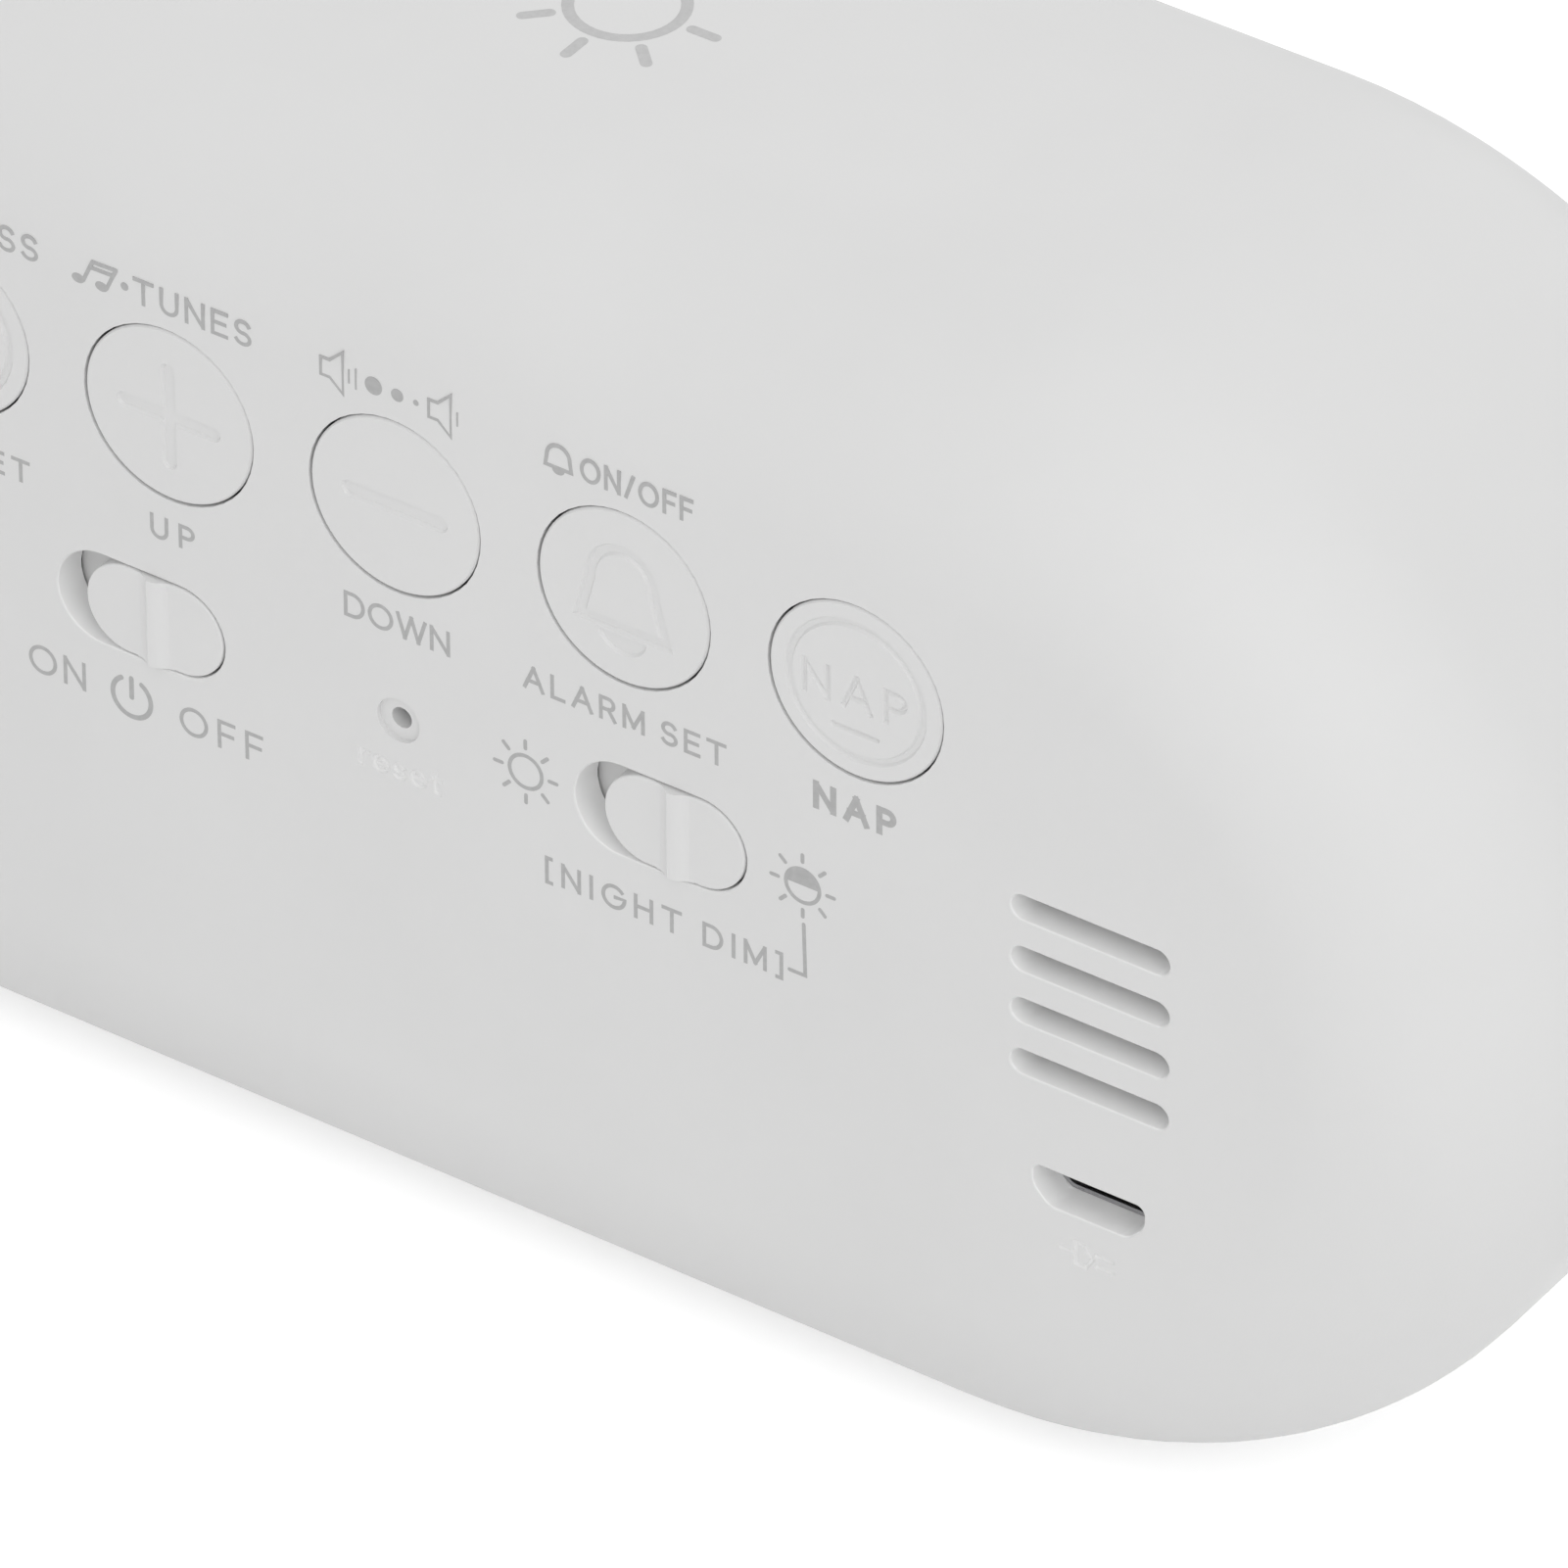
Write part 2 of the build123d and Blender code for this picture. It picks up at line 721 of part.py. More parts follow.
def front_frame():
    """A tray behind the diffuser: skirt, plate, light baffle, screw pads and snap hooks."""
    skirt = pill(frame_inset) - pill(frame_inset + frame_skirt)
    frame = across(skirt, lip_inner, frame_rear)
    plate = pill(frame_inset) - display_window(fit_gap)
    frame += across(plate, frame_front, frame_rear)
    baffle = display_window(fit_gap + baffle_wall) - display_window(fit_gap)
    frame += across(baffle, lip_inner, frame_rear)
    for x, z in display_screw_places():
        frame += across(at(x, z, Circle(display_pad_diameter / 2)), frame_front, display_rear)
        frame -= across(at(x, z, Circle(boss_pilot / 2)), frame_front, display_rear + overrun)
    hook_low = lip_inner + fit_gap
    hooks = pill(frame_inset - hook_reach) - pill(frame_inset + frame_skirt / 2)
    hooks = across(hooks, hook_low, hook_low + hook_height)
    grips = Part()
    for x in (hook_span / 2, -hook_span / 2):
        grips += box(x - hook_width / 2, x + hook_width / 2, hook_low, frame_rear, body_bottom, body_top)
    level = hook_width / 2
    grips += box(-body_width / 2, body_width / 2, hook_low, frame_rear, body_mid - level, body_mid + level)
    return frame + (hooks & grips)


def light_board():
    """A ring-shaped board round the digit block."""
    ring = pill(frame_inset + frame_skirt + run_gap) - display_window(fit_gap + baffle_wall + run_gap)
    return across(ring, light_front, frame_front)


def night_light_leds():
    """Lamps in two rows and one at each end of the board."""
    places = [(side * led_end_offset, body_mid) for side in (1, -1)]
    step = led_row_span / (led_row_count - 1)
    for index in range(led_row_count):
        for side in (1, -1):
            places.append((index * step - led_row_span / 2, body_mid + side * led_row_offset))
    lamps = Part()
    for x, z in places:
        lamps += across(at(x, z, Rectangle(led_length, led_width)), light_front - led_height, light_front)
    return lamps


def segment(length):
    """One lamp bar of a digit, lying along X, with pointed ends."""
    half = length / 2 - segment_gap / 2
    point = segment_width / 2
    corners = [(-half, 0), (point - half, -point), (half - point, -point)]
    corners += [(-x, -y) for x, y in corners]
    return Polygon(*corners, align=None)


def display_segments():
    """Light windows of four digits and the colon between them."""
    bar = digit_width - segment_width
    rise = (digit_height - segment_width) / 2
    windows = Sketch()
    for place in digit_places:
        for level in (rise, 0, -rise):
            windows += at(place, body_mid + level, segment(bar))
        for side in (1, -1):
            for level in (rise / 2, -rise / 2):
                upright_bar = Rot(0, 0, 90) * segment(rise)
                windows += at(place + side * bar / 2, body_mid + level, upright_bar)
    for side in (1, -1):
        windows += at(0, body_mid + side * colon_span / 2, Circle(colon_diameter / 2))
    return across(windows, display_front, display_front + segment_depth)


def display_housing():
    """The digit block that the light windows are let into."""
    outline = RectangleRounded(display_width, display_height, display_corner_radius)
    return across(at(0, body_mid, outline), display_front, display_rear) - display_segments()


def display_board():
    """The board behind the digit block."""
    width = display_width + 2 * display_board_side
    height = display_height + 2 * display_board_margin
    outline = at(0, body_mid, RectangleRounded(width, height, board_corner_radius))
    for x, z in display_screw_places():
        outline -= at(x, z, Circle(screw_hole / 2))
    return across(outline, display_rear, display_board_rear)


def display_board_screws():
    """Screws through the display board into the frame's pads."""
    screws = Part()
    for x, z in display_screw_places():
        screws += screw_at(x, display_board_rear, z, (0, -1, 0), board_thickness + display_screw_bite)
    return screws


def battery_cell():
    """A round cell lying along the floor, with its raised pole at one end."""
    can = along(at(cell_y, cell_z, Circle(cell_radius)), -cell_end, cell_end - cell_cap_height)
    can = fillet(can.edges().filter_by(GeomType.CIRCLE), cell_edge_radius)
    pole = at(cell_y, cell_z, Circle(cell_cap_diameter / 2))
    return can + along(pole, cell_end - cell_cap_height, cell_end)


def battery_cradle():
    """A clip-in trough with end walls and two screwed ears."""
    trough = along(at(cell_y, cell_z, Circle(cradle_outer)), -cradle_end, cradle_end)
    trough -= along(at(cell_y, cell_z, Circle(cradle_inner)), -contact_end, contact_end)
    low, high = cell_y - cradle_outer, cell_y + cradle_outer
    trough -= box(-cradle_end, cradle_end, low, high, cell_z + cradle_grip, body_top)
    for side in (1, -1):
        ends = sorted((side * (cradle_end - cradle_wall), side * (ear_place + ear_width / 2)))
        ear = box(*ends, cell_y - ear_width / 2, cell_y + ear_width / 2, ear_low, ear_low + ear_thickness)
        trough += ear - upright(side * ear_place, cell_y, screw_hole / 2, ear_low - overrun, body_mid)
    return trough


def cradle_screws():
    """Screws that hold the cradle's ears to the shell's floor."""
    screws = Part()
    for side in (1, -1):
        length = ear_thickness + ear_boss_height - overrun
        screws += screw_at(side * ear_place, cell_y, ear_low + ear_thickness, (0, 0, -1), length)
    return screws


def battery_contacts():
    """A metal strip at each end of the cell, tall enough to solder a lead to."""
    strips = Part()
    half = contact_width / 2
    for side in (1, -1):
        ends = sorted((side * cell_end, side * contact_end))
        strips += box(*ends, cell_y - half, cell_y + half, cell_z - half, contact_top)
    return strips


def battery_leads():
    """A wire from each contact up and back to the main board."""
    wires = Part()
    for side in (1, -1):
        x = side * (cell_end + contact_thickness / 2)
        z = contact_top + battery_lead_rise
        route = [(x, cell_y, contact_top), (x, cell_y, z), (x, board_front, z)]
        wires += round_lead(route, lead_diameter)
    return wires


def touch_pad():
    """A foil disc on the inside of the roof, under the light mark."""
    return upright(0, touch_y, touch_diameter / 2, roof_inner - touch_thickness, roof_inner)


def touch_lead():
    """A wire from the touch pad down and back to the main board."""
    top = roof_inner - touch_thickness
    z = top - touch_lead_drop
    route = [(0, touch_y, top), (0, touch_y, z), (0, board_front, z)]
    return round_lead(route, lead_diameter)


def display_ribbon():
    """A flat ribbon that hangs in a shallow bow between the two boards."""
    level = button_row - ribbon_drop
    middle = (display_board_rear + board_front) / 2
    points = [(display_board_rear, level), (middle, level - ribbon_sag), (board_front, level)]
    half = ribbon_thickness / 2
    upper = FilletPolyline(*[(y, z + half) for y, z in points], radius=ribbon_bend)
    lower = FilletPolyline(*[(y, z - half) for y, z in points], radius=ribbon_bend)
    edges = upper.edges() + lower.edges()
    edges += [Line(upper @ end, lower @ end) for end in (0, 1)]
    return along(make_face(edges), -ribbon_width / 2, ribbon_width / 2)


def pieces():
    """Every piece of the clock by name."""
    made = {
        "rear_shell": rear_shell(),
        "rubber_feet": rubber_feet(),
        "night_light_diffuser": night_light_diffuser(),
        "display_lens": display_lens(),
        "front_frame": front_frame(),
        "light_board": light_board(),
        "night_light_leds": night_light_leds(),
        "display_housing": display_housing(),
        "display_segments": display_segments(),
        "display_board": display_board(),
        "display_board_screws": display_board_screws(),
        "display_ribbon": display_ribbon(),
        "main_board": main_board(),
        "main_board_screws": main_board_screws(),
        "control_chip": control_chip(),
        "timing_crystal": timing_crystal(),
        "reset_switch": tact_body(0, lower_row, reset_tact_width, reset_bore),
        "reset_plunger": tact_plunger(0, lower_row, reset_bore, reset_travel, reset_top),
        "usb_shell": usb_shell(),
        "usb_tongue": usb_tongue(),
        "speaker_seal": speaker_seal(),
        "speaker_frame": speaker_frame(),
        "speaker_cone": speaker_cone(),
        "speaker_magnet": speaker_magnet(),
        "speaker_leads": speaker_leads(),
        "battery_cell": battery_cell(),
        "battery_cradle": battery_cradle(),
        "cradle_screws": cradle_screws(),
        "battery_contacts": battery_contacts(),
        "battery_leads": battery_leads(),
        "touch_pad": touch_pad(),
        "touch_lead": touch_lead(),
    }
    cases = [tact_body(x, button_row, tact_width, tact_bore) for x in button_places]
    made["button_switches"] = Compound(cases)
    for name, x in zip(button_names, button_places):
        made[name + "_button"] = button_cap(x)
        made[name + "_plunger"] = tact_plunger(x, button_row, tact_bore, button_travel, plunger_top)
    made["slide_switches"] = Compound([slide_switch(x) for x in slide_places.values()])
    for name, x in slide_places.items():
        made[name + "_knob"] = slide_knob(x)
        made[name + "_lever"] = slide_lever(x)
    return made


os.makedirs("parts", exist_ok=True)
for node, shape in pieces().items():
    export_step(shape, os.path.join("parts", node + ".step"))
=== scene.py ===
import json
import math

import bmesh
import bpy
from mathutils import Matrix, Vector


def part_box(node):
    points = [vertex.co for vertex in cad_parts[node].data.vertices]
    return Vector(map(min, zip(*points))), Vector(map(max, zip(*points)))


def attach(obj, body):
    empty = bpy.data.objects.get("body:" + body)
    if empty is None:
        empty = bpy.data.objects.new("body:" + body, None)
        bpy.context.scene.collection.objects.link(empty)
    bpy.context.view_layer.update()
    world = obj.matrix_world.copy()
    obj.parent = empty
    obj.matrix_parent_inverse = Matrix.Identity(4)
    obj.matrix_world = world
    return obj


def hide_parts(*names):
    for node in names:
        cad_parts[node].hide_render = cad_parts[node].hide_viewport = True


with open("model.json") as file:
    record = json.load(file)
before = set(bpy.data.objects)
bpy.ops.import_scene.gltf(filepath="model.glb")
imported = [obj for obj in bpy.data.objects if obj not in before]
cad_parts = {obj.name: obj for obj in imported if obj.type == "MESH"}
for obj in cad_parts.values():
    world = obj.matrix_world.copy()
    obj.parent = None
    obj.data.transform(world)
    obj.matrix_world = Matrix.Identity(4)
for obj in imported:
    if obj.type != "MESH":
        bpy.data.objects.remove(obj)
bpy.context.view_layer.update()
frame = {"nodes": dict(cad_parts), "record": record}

MM = 0.001

# Photograph's camera: where it looks from, in degrees and metres,
# and how far its aim is off the middle of the button row
VIEW_AZIMUTH = 214.78
VIEW_ELEVATION = 36.31
VIEW_ROLL = -0.27
VIEW_DISTANCE = 1.1575
VIEW_OFFSET = (0.02294, -0.016504)
LENS_MM = 449.7
SENSOR_MM = 36.0
CLIP_RANGE = (0.01, 50)

# Print, in millimetres: stroke widths, and how far the ink reaches in and stands out
PRINT_WIDTH = 0.26
FINE_WIDTH = 0.2
HAIR_WIDTH = 0.13
BOLD_WIDTH = 0.43
POWER_WIDTH = 0.34
TOP_WIDTH = 0.75
PRINT_LEVELS = (-0.1, 0.015)

# Printed signs, in millimetres: loudspeakers and dots on one level, and the two quavers
SIGN_LEVEL = 8.17
SPEAKER_THROAT = 0.62
SPEAKER_FLARE = 1.5
BIG_DOT, MID_DOT, SMALL_DOT = 0.62, 0.44, 0.2
NOTE_HEADS = ((-22.95, 7.46), (-21.23, 7.5))
NOTE_RADII = (0.46, 0.34)
NOTE_STEM = 0.38
NOTE_RISE = 1.56
NOTE_LEAN = 0.7
BEAM_GAP = 0.45
RAY_COUNT = 8

# Sunk marks, in millimetres: a groove's depth and how far its sides lean in, on the caps and on
# the panel, and the share of both by which the cutter stands above the face
CARVE_DEPTH = 0.2
CARVE_FLARE = 0.14
SHALLOW_DEPTH = 0.16
SHALLOW_FLARE = 0.13
CUTTER_RISE = 0.15
SUNK_WIDTH = 0.36
RING_RADIUS = 4.76
RING_WIDTH = 0.57
HAND_WIDTH = 0.5
CAP_WORD_WIDTH = 0.42
BELL_WIDTH = 0.8
BAR = 1.05
ARM = 3.3

# Strokes: longest mitre, share of a bend's room in use, and steps of arcs and round ends in degrees
MITRE_LIMIT = 1.8
FOLD_SHARE = 0.92
NO_BEND = (math.inf, math.inf)
ARC_STEP = 9.0
ROUND_END = (20, 40, 60, 80)
TINY = 1e-6

# Meshes: angle from which an edge is sharp, and clean-up distances in metres
SMOOTH_ANGLE = math.radians(32)
SLIVER = 5e-7
WELD = 1e-6

# Materials: ends of a colour ramp, spread of a sheen, and half a wave of the band texture
RAMP_ENDS = (0.3, 0.7)
SHEEN_SPREAD = 0.05
HALF_WAVE = math.pi / 20


def middle(node):
    """Centre of a CAD node's box."""
    low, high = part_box(node)
    return (low + high) / 2


rear_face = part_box("rear_shell")[1].y
top_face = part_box("rear_shell")[1].z
row = middle("down_button")
touch_y = middle("touch_pad").y
display_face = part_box("display_housing")[0].y
display_z = middle("display_housing").z


# Places: a flat drawing in millimetres is laid on one face of the clock

def panel(u, v, height):
    """Rear panel, from the middle button: u to the right as the panel is read, v up."""
    return Vector((row.x - u * MM, rear_face + height * MM, row.z + v * MM))


def roof(u, v, height):
    """Top of the body, round the touch pad."""
    return Vector((u * MM, touch_y + v * MM, top_face + height * MM))


def digits(u, v, height):
    """Front of the digit block, from its middle."""
    return Vector((u * MM, display_face - height * MM, display_z + v * MM))


def cap(name):
    """Face of one button cap, from its centre."""
    centre = middle(name + "_button")
    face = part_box(name + "_button")[1].y
    return lambda u, v, height: Vector((centre.x - u * MM, face + height * MM, centre.z + v * MM))


# Flat drawings: lists of (points, width, closed, square ends), where no width means a filled outline

def arc(cx, cy, rx, ry, start, end):
    """Points along an ellipse's arc, with its angles in degrees."""
    steps = max(2, math.ceil(abs(end - start) / ARC_STEP))
    turns = [math.radians(start + (end - start) * i / steps) for i in range(steps + 1)]
    return [(cx + rx * math.cos(a), cy + ry * math.sin(a)) for a in turns]


def circle(cx, cy, radius):
    """Points round a full circle."""
    return arc(cx, cy, radius, radius, 0, 360)[:-1]


def line(*points, width=PRINT_WIDTH):
    """An open stroke."""
    return [(list(points), width, False, False)]


def loop(points, width=PRINT_WIDTH):
    """A closed stroke."""
    return [(points, width, True, False)]


def fill(points):
    """A filled outline."""
    return [(points, None, True, False)]


def bowl(x, low, high, reach):
    """The round of a letter's bowl, from its top to its foot."""
    return arc(x, (low + high) / 2, reach, (high - low) / 2, 90, -90)


def letter_s(width, height):
    """The letter S as one stroke."""
    upper = arc(width / 2, height * 0.745, width * 0.46, height * 0.255, 25, 270)
    lower = arc(width / 2, height * 0.25, width * 0.5, height * 0.25, 90, -155)
    return upper + lower[1:]


# Letters on a cap height of one: each has its width and its strokes
LETTERS = {
    "A": (0.86, [[(0, 0), (0.43, 1)], [(0.43, 1), (0.86, 0)], [(0.15, 0.34), (0.71, 0.34)]]),
    "B": (
        0.66,
        [
            [(0, 0), (0, 1)],
            [(0, 1), *bowl(0.36, 0.52, 1, 0.26), (0, 0.52)],
            [(0, 0.52), *bowl(0.38, 0, 0.52, 0.28), (0, 0)],
        ],
    ),
    "D": (0.8, [[(0, 0), (0, 1), *bowl(0.32, 0, 1, 0.48), (0, 0)]]),
    "E": (0.62, [[(0.62, 1), (0, 1), (0, 0), (0.62, 0)], [(0, 0.52), (0.56, 0.52)]]),
    "F": (0.58, [[(0, 0), (0, 1), (0.58, 1)], [(0, 0.52), (0.52, 0.52)]]),
    "G": (0.96, [[*arc(0.5, 0.5, 0.5, 0.5, 42, 360), (0.58, 0.5)]]),
    "H": (0.74, [[(0, 0), (0, 1)], [(0.74, 0), (0.74, 1)], [(0, 0.52), (0.74, 0.52)]]),
    "I": (0.0, [[(0, 0), (0, 1)]]),
    "L": (0.55, [[(0, 1), (0, 0), (0.55, 0)]]),
    "M": (
        0.9,
        [
            [(0, 0), (0, 1)],
            [(0.03, 0.95), (0.45, 0.12)],
            [(0.45, 0.12), (0.87, 0.95)],
            [(0.9, 1), (0.9, 0)],
        ],
    ),
    "N": (0.76, [[(0, 0), (0, 1)], [(0.04, 0.95), (0.72, 0.05)], [(0.76, 0), (0.76, 1)]]),
    "O": (1.0, [circle(0.5, 0.5, 0.5)]),
    "P": (0.62, [[(0, 0), (0, 1)], [(0, 1), *bowl(0.34, 0.47, 1, 0.28), (0, 0.47)]]),
    "R": (
        0.66,
        [
            [(0, 0), (0, 1)],
            [(0, 1), *bowl(0.34, 0.47, 1, 0.28), (0, 0.47)],
            [(0.36, 0.47), (0.66, 0)],
        ],
    ),
    "S": (0.64, [letter_s(0.64, 1)]),
    "T": (0.78, [[(0, 1), (0.78, 1)], [(0.39, 1), (0.39, 0)]]),
    "U": (0.72, [[(0, 1), *arc(0.36, 0.36, 0.36, 0.36, 180, 360), (0.72, 1)]]),
    "W": (
        1.24,
        [
            [(0, 1), (0.31, 0)],
            [(0.31, 0), (0.62, 1)],
            [(0.62, 1), (0.93, 0)],
            [(0.93, 0), (1.24, 1)],
        ],
    ),
    "/": (0.4, [[(0, 0), (0.4, 1)]]),
    "[": (0.2, [[(0.2, 1.06), (0, 1.06), (0, -0.1), (0.2, -0.1)]]),
    "]": (0.2, [[(0, 1.06), (0.2, 1.06), (0.2, -0.1), (0, -0.1)]]),
    " ": (0.0, []),
    "r": (0.34, [[(0, 0), (0, 0.74)], arc(0.34, 0.4, 0.34, 0.34, 180, 80)]),
    "e": (0.7, [[(0.03, 0.39), (0.66, 0.39)], arc(0.35, 0.37, 0.35, 0.37, 5, 318)]),
    "s": (0.52, [letter_s(0.52, 0.74)]),
    "t": (0.4, [[(0.15, 1), *arc(0.33, 0.18, 0.18, 0.18, 180, 275)], [(0, 0.74), (0.4, 0.74)]]),
}


def word(text, left, right, low, high, width=PRINT_WIDTH, narrow=1.0):
    """Strokes of a word, spaced to fill a box."""
    size = high - low - width
    across = size * narrow
    spare = right - left - width - across * sum(LETTERS[c][0] for c in text)
    gap = spare / (len(text) - 1)
    strokes = []
    x = left + width / 2
    for c in text:
        advance, parts = LETTERS[c]
        for part in parts:
            points = [(x + across * u, low + width / 2 + size * v) for u, v in part]
            strokes.append((points, width, c == "O", True))
        x += across * advance + gap
    return strokes


def sun(cx, cy, ring, ray_start, ray_end, width=PRINT_WIDTH):
    """A ring with rays."""
    strokes = loop(circle(cx, cy, ring), width)
    for index in range(RAY_COUNT):
        a = index * 2 * math.pi / RAY_COUNT
        inner = (cx + ray_start * math.cos(a), cy + ray_start * math.sin(a))
        outer = (cx + ray_end * math.cos(a), cy + ray_end * math.sin(a))
        strokes += line(inner, outer, width=width)
    return strokes


def speaker_sign(left, neck, mouth):
    """A loudspeaker's outline, open to the right."""
    points = [
        (left, SIGN_LEVEL + SPEAKER_THROAT),
        (left, SIGN_LEVEL - SPEAKER_THROAT),
        (neck, SIGN_LEVEL - SPEAKER_THROAT),
        (mouth, SIGN_LEVEL - SPEAKER_FLARE),
        (mouth, SIGN_LEVEL + SPEAKER_FLARE),
        (neck, SIGN_LEVEL + SPEAKER_THROAT),
    ]
    return loop(points, FINE_WIDTH)


def bell(cx, base, top, half_foot, half_shoulder, shoulder):
    """A bell's outline: straight foot, flaring sides and a round dome."""
    dome = arc(cx, shoulder, half_shoulder, top - shoulder, 0, 180)
    return [(cx + half_foot, base), *dome, (cx - half_foot, base)]


def note_sign():
    """Two quavers on a double beam, leaning to the right."""
    strokes = []
    tops = []
    for x, y in NOTE_HEADS:
        strokes += fill(arc(x, y, *NOTE_RADII, 0, 360)[:-1])
        foot = (x + NOTE_STEM, y)
        tops.append((x + NOTE_STEM + NOTE_LEAN, y + NOTE_RISE))
        strokes += line(foot, tops[-1])
    strokes += line(*tops)
    strokes += line(*[(x - NOTE_LEAN * BEAM_GAP / NOTE_RISE, y - BEAM_GAP) for x, y in tops])
    return strokes


# Meshes from flat drawings

def offsets(points, closed):
    """A sideways unit vector at each point, lengthened at corners so that strokes keep their width."""
    count = len(points)
    sides = []
    for i in range(count):
        here = Vector(points[i])
        ways = []
        if closed or i > 0:
            ways.append((here - Vector(points[i - 1])).normalized())
        if closed or i < count - 1:
            ways.append((Vector(points[(i + 1) % count]) - here).normalized())
        normals = [Vector((-w.y, w.x)) for w in ways]
        total = sum(normals, Vector((0, 0)))
        if total.length < TINY:
            sides.append(normals[0])
            continue
        total.normalize()
        sides.append(total * min(MITRE_LIMIT, 1 / max(TINY, total.dot(normals[0]))))
    return sides


def bend_rooms(points, closed):
    """How far a stroke may reach to its left and right at each point before it folds over."""
    count = len(points)
    rooms = []
    for i in range(count):
        if not closed and i in (0, count - 1):
            rooms.append(NO_BEND)
            continue
        back = Vector(points[i]) - Vector(points[i - 1])
        ahead = Vector(points[(i + 1) % count]) - Vector(points[i])
        turn = math.atan2(back.x * ahead.y - back.y * ahead.x, back.dot(ahead))
        if abs(turn) < TINY:
            rooms.append(NO_BEND)
            continue
        room = FOLD_SHARE * min(back.length, ahead.length) / (2 * math.tan(abs(turn) / 2))
        rooms.append((room, math.inf) if turn > 0 else (math.inf, room))
    return rooms


def open_sections(points, square):
    """Sections of an open stroke with square or round ends, as in closed_sections."""
    sides = offsets(points, False)
    rooms = bend_rooms(points, False)
    sections = [(Vector(p), Vector((0, 0)), s, 1.0, r) for p, s, r in zip(points, sides, rooms)]
    lead = (Vector(points[0]) - Vector(points[1])).normalized()
    tail = (Vector(points[-1]) - Vector(points[-2])).normalized()
    turns = [math.radians(degrees) for degrees in ROUND_END]
    steps = [(1.0, 1.0)] if square else [(math.sin(a), math.cos(a)) for a in turns]
    for out, share in steps:
        sections.insert(0, (Vector(points[0]), lead * out, sides[0], share, NO_BEND))
        sections.append((Vector(points[-1]), tail * out, sides[-1], share, NO_BEND))
    return sections


def closed_sections(points):
    """Sections of a closed stroke: point, step along it, side, share of its half width and room."""
    shapes = zip(points, offsets(points, True), bend_rooms(points, True))
    return [(Vector(p), Vector((0, 0)), s, 1.0, r) for p, s, r in shapes]


def add_stroke(bm, place, points, width, closed, levels, spread, square):
    """A bar along a stroke, between two heights, whose width grows by the given spread at each."""
    half = width / 2
    if points[0] == points[-1]:
        points = points[:-1]
        closed = True
    sections = closed_sections(points) if closed else open_sections(points, square)
    rings = []
    for spot, along, side, share, (left, right) in sections:
        ring = []
        for height, grow in zip(levels, spread):
            reach = half + grow
            centre = spot + along * reach
            ring.append(bm.verts.new(place(*(centre + side * min(reach, left) * share), height)))
            ring.append(bm.verts.new(place(*(centre - side * min(reach, right) * share), height)))
        rings.append([ring[0], ring[1], ring[3], ring[2]])
    pairs = list(zip(rings, rings[1:]))
    if closed:
        pairs.append((rings[-1], rings[0]))
    for a, b in pairs:
        for i in range(4):
            j = (i + 1) % 4
            bm.faces.new((a[i], a[j], b[j], b[i]))
    if not closed:
        bm.faces.new(rings[0])
        bm.faces.new(rings[-1])


def add_fill(bm, place, points, levels, spread):
    """A slab on a filled outline between two heights."""
    sides = offsets(points, True)
    area = sum(a[0] * b[1] - b[0] * a[1] for a, b in zip(points, points[1:] + points[:1]))
    outward = -1 if area > 0 else 1
    loops = []
    for height, grow in zip(levels, spread):
        spots = [Vector(p) + s * outward * grow for p, s in zip(points, sides)]
        loops.append([bm.verts.new(place(*spot, height)) for spot in spots])
    bm.faces.new(loops[0])
    bm.faces.new(loops[1])
    count = len(points)
    for i in range(count):
        j = (i + 1) % count
        bm.faces.new((loops[0][i], loops[0][j], loops[1][j], loops[1][i]))


def raw_drawing(name, place, strokes, levels, spread):
    """One mesh object whose strokes still overlap."""
    bm = bmesh.new()
    for points, width, closed, square in strokes:
        if width is None:
            add_fill(bm, place, points, levels, spread)
        else:
            add_stroke(bm, place, points, width, closed, levels, spread, square)
    bmesh.ops.recalc_face_normals(bm, faces=bm.faces)
    mesh = bpy.data.meshes.new(name)
    bm.to_mesh(mesh)
    bm.free()
    piece = bpy.data.objects.new(name, mesh)
    bpy.context.scene.collection.objects.link(piece)
    return piece


def keep_result(piece):
    """Turn a piece's modifiers into its mesh."""
    bpy.context.view_layer.update()
    seen = piece.evaluated_get(bpy.context.evaluated_depsgraph_get())
    mesh = bpy.data.meshes.new_from_object(seen)
    mesh.name = piece.name
    piece.modifiers.clear()
    piece.data = mesh


def combine(piece, tool, operation):
    """Join a second mesh to a piece, or cut it out, and keep the result."""
    step = piece.modifiers.new("combine", "BOOLEAN")
    step.operation = operation
    step.solver = "EXACT"
    step.use_self = operation == "UNION"
    step.object = tool
    keep_result(piece)
    bpy.data.objects.remove(tool)
    bm = bmesh.new()
    bm.from_mesh(piece.data)
    bmesh.ops.dissolve_degenerate(bm, dist=SLIVER, edges=bm.edges)
    bm.to_mesh(piece.data)
    bm.free()


def drawing(name, place, strokes, levels, spread=(0, 0)):
    """One mesh object from a flat drawing, its strokes fused."""
    piece = raw_drawing(name, place, strokes[:1], levels, spread)
    if len(strokes) > 1:
        combine(piece, raw_drawing(name + "_rest", place, strokes[1:], levels, spread), "UNION")
    return piece


def settle(piece):
    """Smooth shading that follows the larger faces, with the sharp edges kept."""
    piece.data.shade_smooth()
    piece.data.set_sharp_from_angle(angle=SMOOTH_ANGLE)
    step = piece.modifiers.new("settle", "WEIGHTED_NORMAL")
    step.keep_sharp = True
    keep_result(piece)


def dress(piece, finish, body):
    """Give a new piece its material and its body."""
    piece.data.materials.clear()
    piece.data.materials.append(finish)
    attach(piece, body)
    return piece


# Materials

